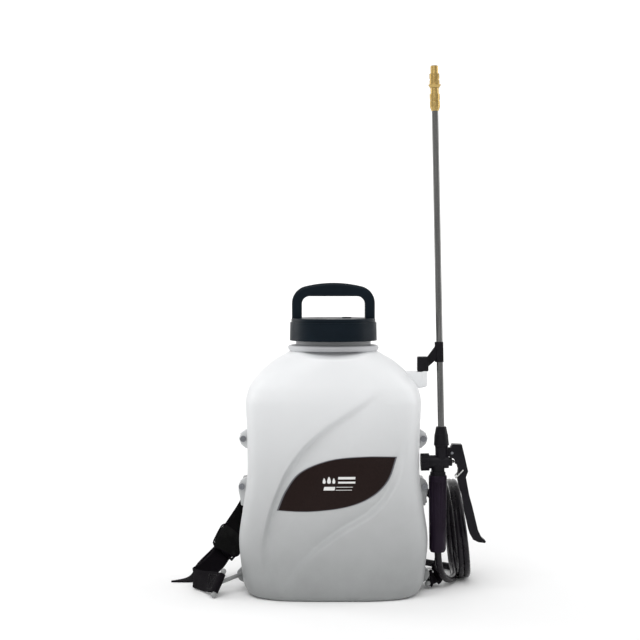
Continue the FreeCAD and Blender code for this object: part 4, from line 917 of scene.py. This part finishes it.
def swollen(name, vertices, faces, pinned, cap):
    """Vertices after cloth under pressure, in millimetres, none moved further than the cap."""
    scale = 0.01
    mesh = bpy.data.meshes.new(name)
    mesh.from_pydata([tuple(Vector(v) * scale) for v in vertices], [], faces)
    piece = bpy.data.objects.new(name, mesh)
    bpy.context.scene.collection.objects.link(piece)
    piece.vertex_groups.new(name="pin").add(pinned, 1.0, "REPLACE")
    cloth = piece.modifiers.new("cloth", "CLOTH")
    cloth.settings.quality = 6
    cloth.settings.mass = 0.04
    cloth.settings.tension_stiffness = 12
    cloth.settings.bending_stiffness = 0.4
    cloth.settings.vertex_group_mass = "pin"
    cloth.settings.use_pressure = True
    cloth.settings.uniform_pressure_force = 4.0
    cloth.settings.effector_weights.gravity = 0.0
    cloth.point_cache.frame_start, cloth.point_cache.frame_end = 1, 20
    for number in range(1, 21):
        bpy.context.scene.frame_set(number)
    settled = piece.evaluated_get(bpy.context.evaluated_depsgraph_get()).to_mesh()
    moved = []
    for before, after in zip(vertices, settled.vertices):
        shift = after.co / scale - Vector(before)
        moved.append(Vector(before) + shift * min(1.0, cap / max(shift.length, 1e-6)))
    bpy.data.objects.remove(piece)
    bpy.context.scene.frame_set(1)
    return moved


def pad(name, ribbon, start, end, width, thick, material, cap, replaced=(), body_fill=0.7):
    """Crowned foam pad with its edges sewn flat, blown up by cloth between the seams, and a bound rim."""
    half = width / 2
    count = max(8, int((end - start) / 4.5))
    across = np.linspace(-1, 1, 13)
    last = len(across) - 1
    vertices, pinned = [], []
    rims = ([], [])
    for row in range(count + 1):
        along = start + (end - start) * row / count
        gap = min(along - start, end - along)
        round_end = 1 - 0.16 * max(0.0, 1 - gap / 8.0) ** 2
        plump = math.sqrt(min(1.0, 0.04 + gap / 10.0))
        ring = [(value, 1) for value in across] + [(value, -1) for value in across[-2:0:-1]]
        for place, (value, side) in enumerate(ring):
            crown = 0.5 + (thick / 2 - 0.5) * max(0.0, 1 - abs(value) ** 4) ** 0.5 * plump
            lift = side * (crown if 0 < abs(value) < 1 or value == 0 else 0.0)
            if abs(value) < 1 and abs(abs(value) - across[-2]) < 0.01:
                lift = side * (0.55 + 0.35 * thick / 2 * plump)
            if row in (0, count) or abs(value) > across[-2] - 0.01:
                pinned.append(row * len(ring) + place)
            vertices.append(ribbon.at(along, value * half * round_end, lift))
        rims[0].append(ribbon.at(along, -half * round_end))
        rims[1].append(ribbon.at(along, half * round_end))
    columns = 2 * last
    faces = grid_faces(count + 1, columns, True)
    for row, flip in ((0, 1), (count, -1)):
        for place in range(last):
            corners = [place, place + 1, (columns - place - 1) % columns, (columns - place) % columns]
            quad = [row * columns + corner for corner in corners]
            faces.append([index for number, index in enumerate(quad) if index not in quad[:number]][::-flip])
    vertices = swollen(name + "_cloth", vertices, faces, pinned, cap)
    made = object_from(name, vertices, faces, material, None, replaced)
    smooth = made.modifiers.new("smooth", "SUBSURF")
    smooth.levels = smooth.render_levels = 1
    fine = bpy.data.meshes.new_from_object(made.evaluated_get(bpy.context.evaluated_depsgraph_get()))
    made.modifiers.clear()
    made.data = fine
    fine.shade_smooth()
    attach(made, "tank")
    end_places = np.linspace(-0.88, 0.88, 8) * half * 0.84
    ends = [[ribbon.at(along, value) for value in end_places] for along in (start, end)]
    rim = rims[0][1:-1] + ends[1] + rims[1][-2:0:-1] + ends[0][::-1]
    rim = spline(rim + rim[:1], 2)
    tape = Shape()
    tape.add(*sweep(rim, 1.35, 10))
    for side in (-1, 1):
        line = [(side * (half - 4.2), start + 7), (side * (half - 4.2), end - 7)]
        for lift in (thick * 0.42, -thick * 0.42):
            stitches(tape, ribbon, line, lift)
    object_from(name + "_binding", tape.vertices, tape.faces, MATERIALS["webbing"], "tank",
                strip=[(v[0] * MM, v[2] * MM, 0.0) for v in tape.vertices])


def harness(side, pad_stations, web_stations, tail_stations, bar, nodes):
    """One shoulder strap: pad, end patch, webbing through the buckle and round the hook's bar, and top loop."""
    line = Ribbon(pad_stations)
    pad(f"shoulder_pad_{side}_foam", line, 0.0, line.length - 3.0, PAD_WIDTH - 4.5, PAD_THICK + 1.2,
        MATERIALS["pad_fabric"], 2.0, (f"shoulder_pad_{side}",))
    pad(f"pad_end_{side}", line, line.length - 37.0, line.length + 0.6, PAD_WIDTH + 3.5, PAD_THICK + 3.6,
        PAD_END, 1.2, body_fill=0.9)
    if tail_stations:
        start = tail_stations + through_lock(pad_stations, [(3, 6.2), (-1, 6.1), (-4.6, 4.2), (-3.5, 0)])
    else:
        start = through_lock(pad_stations, [(-3.5, 1.8), (-3.5, 0)])
    start += through_lock(pad_stations, [(-2.3, -2.95), (2.3, -2.95), (3.4, 0), (5.2, 2.5), (9, 3.3)])
    way, before = bar_loop(start + web_stations, bar)
    strap = Ribbon(way)
    webbing(f"strap_{side}_webbing", strap, nodes, 46.0 if tail_stations else 0.0)
    sewing = Shape()
    edge = strap.rows[before * 8][3] - 5.0
    for lift in (WEB_THICK / 2, -WEB_THICK / 2):
        stitches(sewing, strap, crossed_box(edge - 20, edge), lift)
    x = pad_stations[0][0][0]
    top = Ribbon([((x, y, z), (1, 0, 0)) for y, z in TOP_LOOP])
    webbing(f"strap_{side}_top_loop", top, ())
    stop = top.length - 3.0
    for lift in (-WEB_THICK / 2, WEB_THICK / 2):
        stitches(sewing, top, crossed_box(stop - 16, stop), lift)
    object_from(f"strap_{side}_stitches", sewing.vertices, sewing.faces, THREAD, "tank")


harness("left", LEFT_PAD, LEFT_WEB, LEFT_TAIL, HOOK_LEFT, ("strap_web_left", "strap_tail_left"))
harness("right", RIGHT_PAD, RIGHT_WEB, [], HOOK_RIGHT, ("strap_web_right",))


# ---------------------------------------------------------------- camera, light, floor

def area_light(name, place, target, size, size_y, power):
    """Rectangular soft light at a place, turned to its target."""
    data = bpy.data.lights.new(name, "AREA")
    data.shape = "RECTANGLE"
    data.size, data.size_y, data.energy = size, size_y, power
    made = bpy.data.objects.new(name, data)
    made.location = place
    made.rotation_euler = (Vector(target) - Vector(place)).to_track_quat("-Z", "Y").to_euler()
    bpy.context.scene.collection.objects.link(made)


def stage_material():
    """Plain white paper."""
    g = Graph("floor_paper")
    cloud = g.ramp(g.noise(3.0, 3.0), 0.3, 0.7)
    g.set(Base_Color=g.mix(cloud, (0.93, 0.93, 0.93), (0.95, 0.95, 0.95)), Roughness=0.9)
    g.bump(g.noise(400.0, 2.0), 0.0001)
    return g.material


def make_stage():
    """White paper sweep: floor running up into a wall behind."""
    profile = [(-6.0, 0.0), (3.0, 0.0)]
    profile += [(3.0 + 1.5 * math.sin(a), 1.5 - 1.5 * math.cos(a)) for a in np.linspace(0.1, math.pi / 2, 14)]
    profile.append((4.5, 6.0))
    vertices, faces = [], []
    for y, z in profile:
        vertices += [(-7.0, y, z), (7.0, y, z)]
    for index in range(len(profile) - 1):
        faces.append([2 * index, 2 * index + 1, 2 * index + 3, 2 * index + 2])
    mesh = bpy.data.meshes.new("floor")
    mesh.from_pydata(vertices, [], faces)
    mesh.materials.append(stage_material())
    mesh.shade_smooth()
    floor = bpy.data.objects.new("floor", mesh)
    bpy.context.scene.collection.objects.link(floor)
    world = bpy.data.worlds.new("studio")
    world.use_nodes = True
    background = world.node_tree.nodes["Background"]
    background.inputs["Color"].default_value = (1.0, 1.0, 1.0, 1.0)
    background.inputs["Strength"].default_value = 0.62
    bpy.context.scene.world = world
    area_light("key_top", (-0.25, -0.75, 1.35), (0.0, 0.0, 0.25), 1.3, 0.9, 9.5)
    area_light("rim_left", (-1.3, 0.5, 0.7), (0.0, 0.0, 0.25), 0.5, 1.4, 5.0)
    area_light("rim_right", (1.4, 0.2, 0.8), (0.1, 0.0, 0.25), 0.5, 1.4, 6.0)
    area_light("backdrop", (0.0, 2.0, 2.6), (0.0, 4.2, 0.6), 3.0, 1.0, 60.0)


def make_camera():
    """Long lens in front of the tank, tipped slightly down."""
    data = bpy.data.cameras.new("camera")
    data.lens, data.sensor_width = 75.0, 36.0
    data.clip_start, data.clip_end = 0.05, 40.0
    made = bpy.data.objects.new("camera", data)
    made.location = (-0.020, -2.0, 0.470)
    made.rotation_euler = (math.radians(90 - 1.8), 0.0, 0.0)
    bpy.context.scene.collection.objects.link(made)
    bpy.context.scene.camera = made


make_stage()
make_camera()
bpy.context.scene.view_settings.view_transform = "Standard"
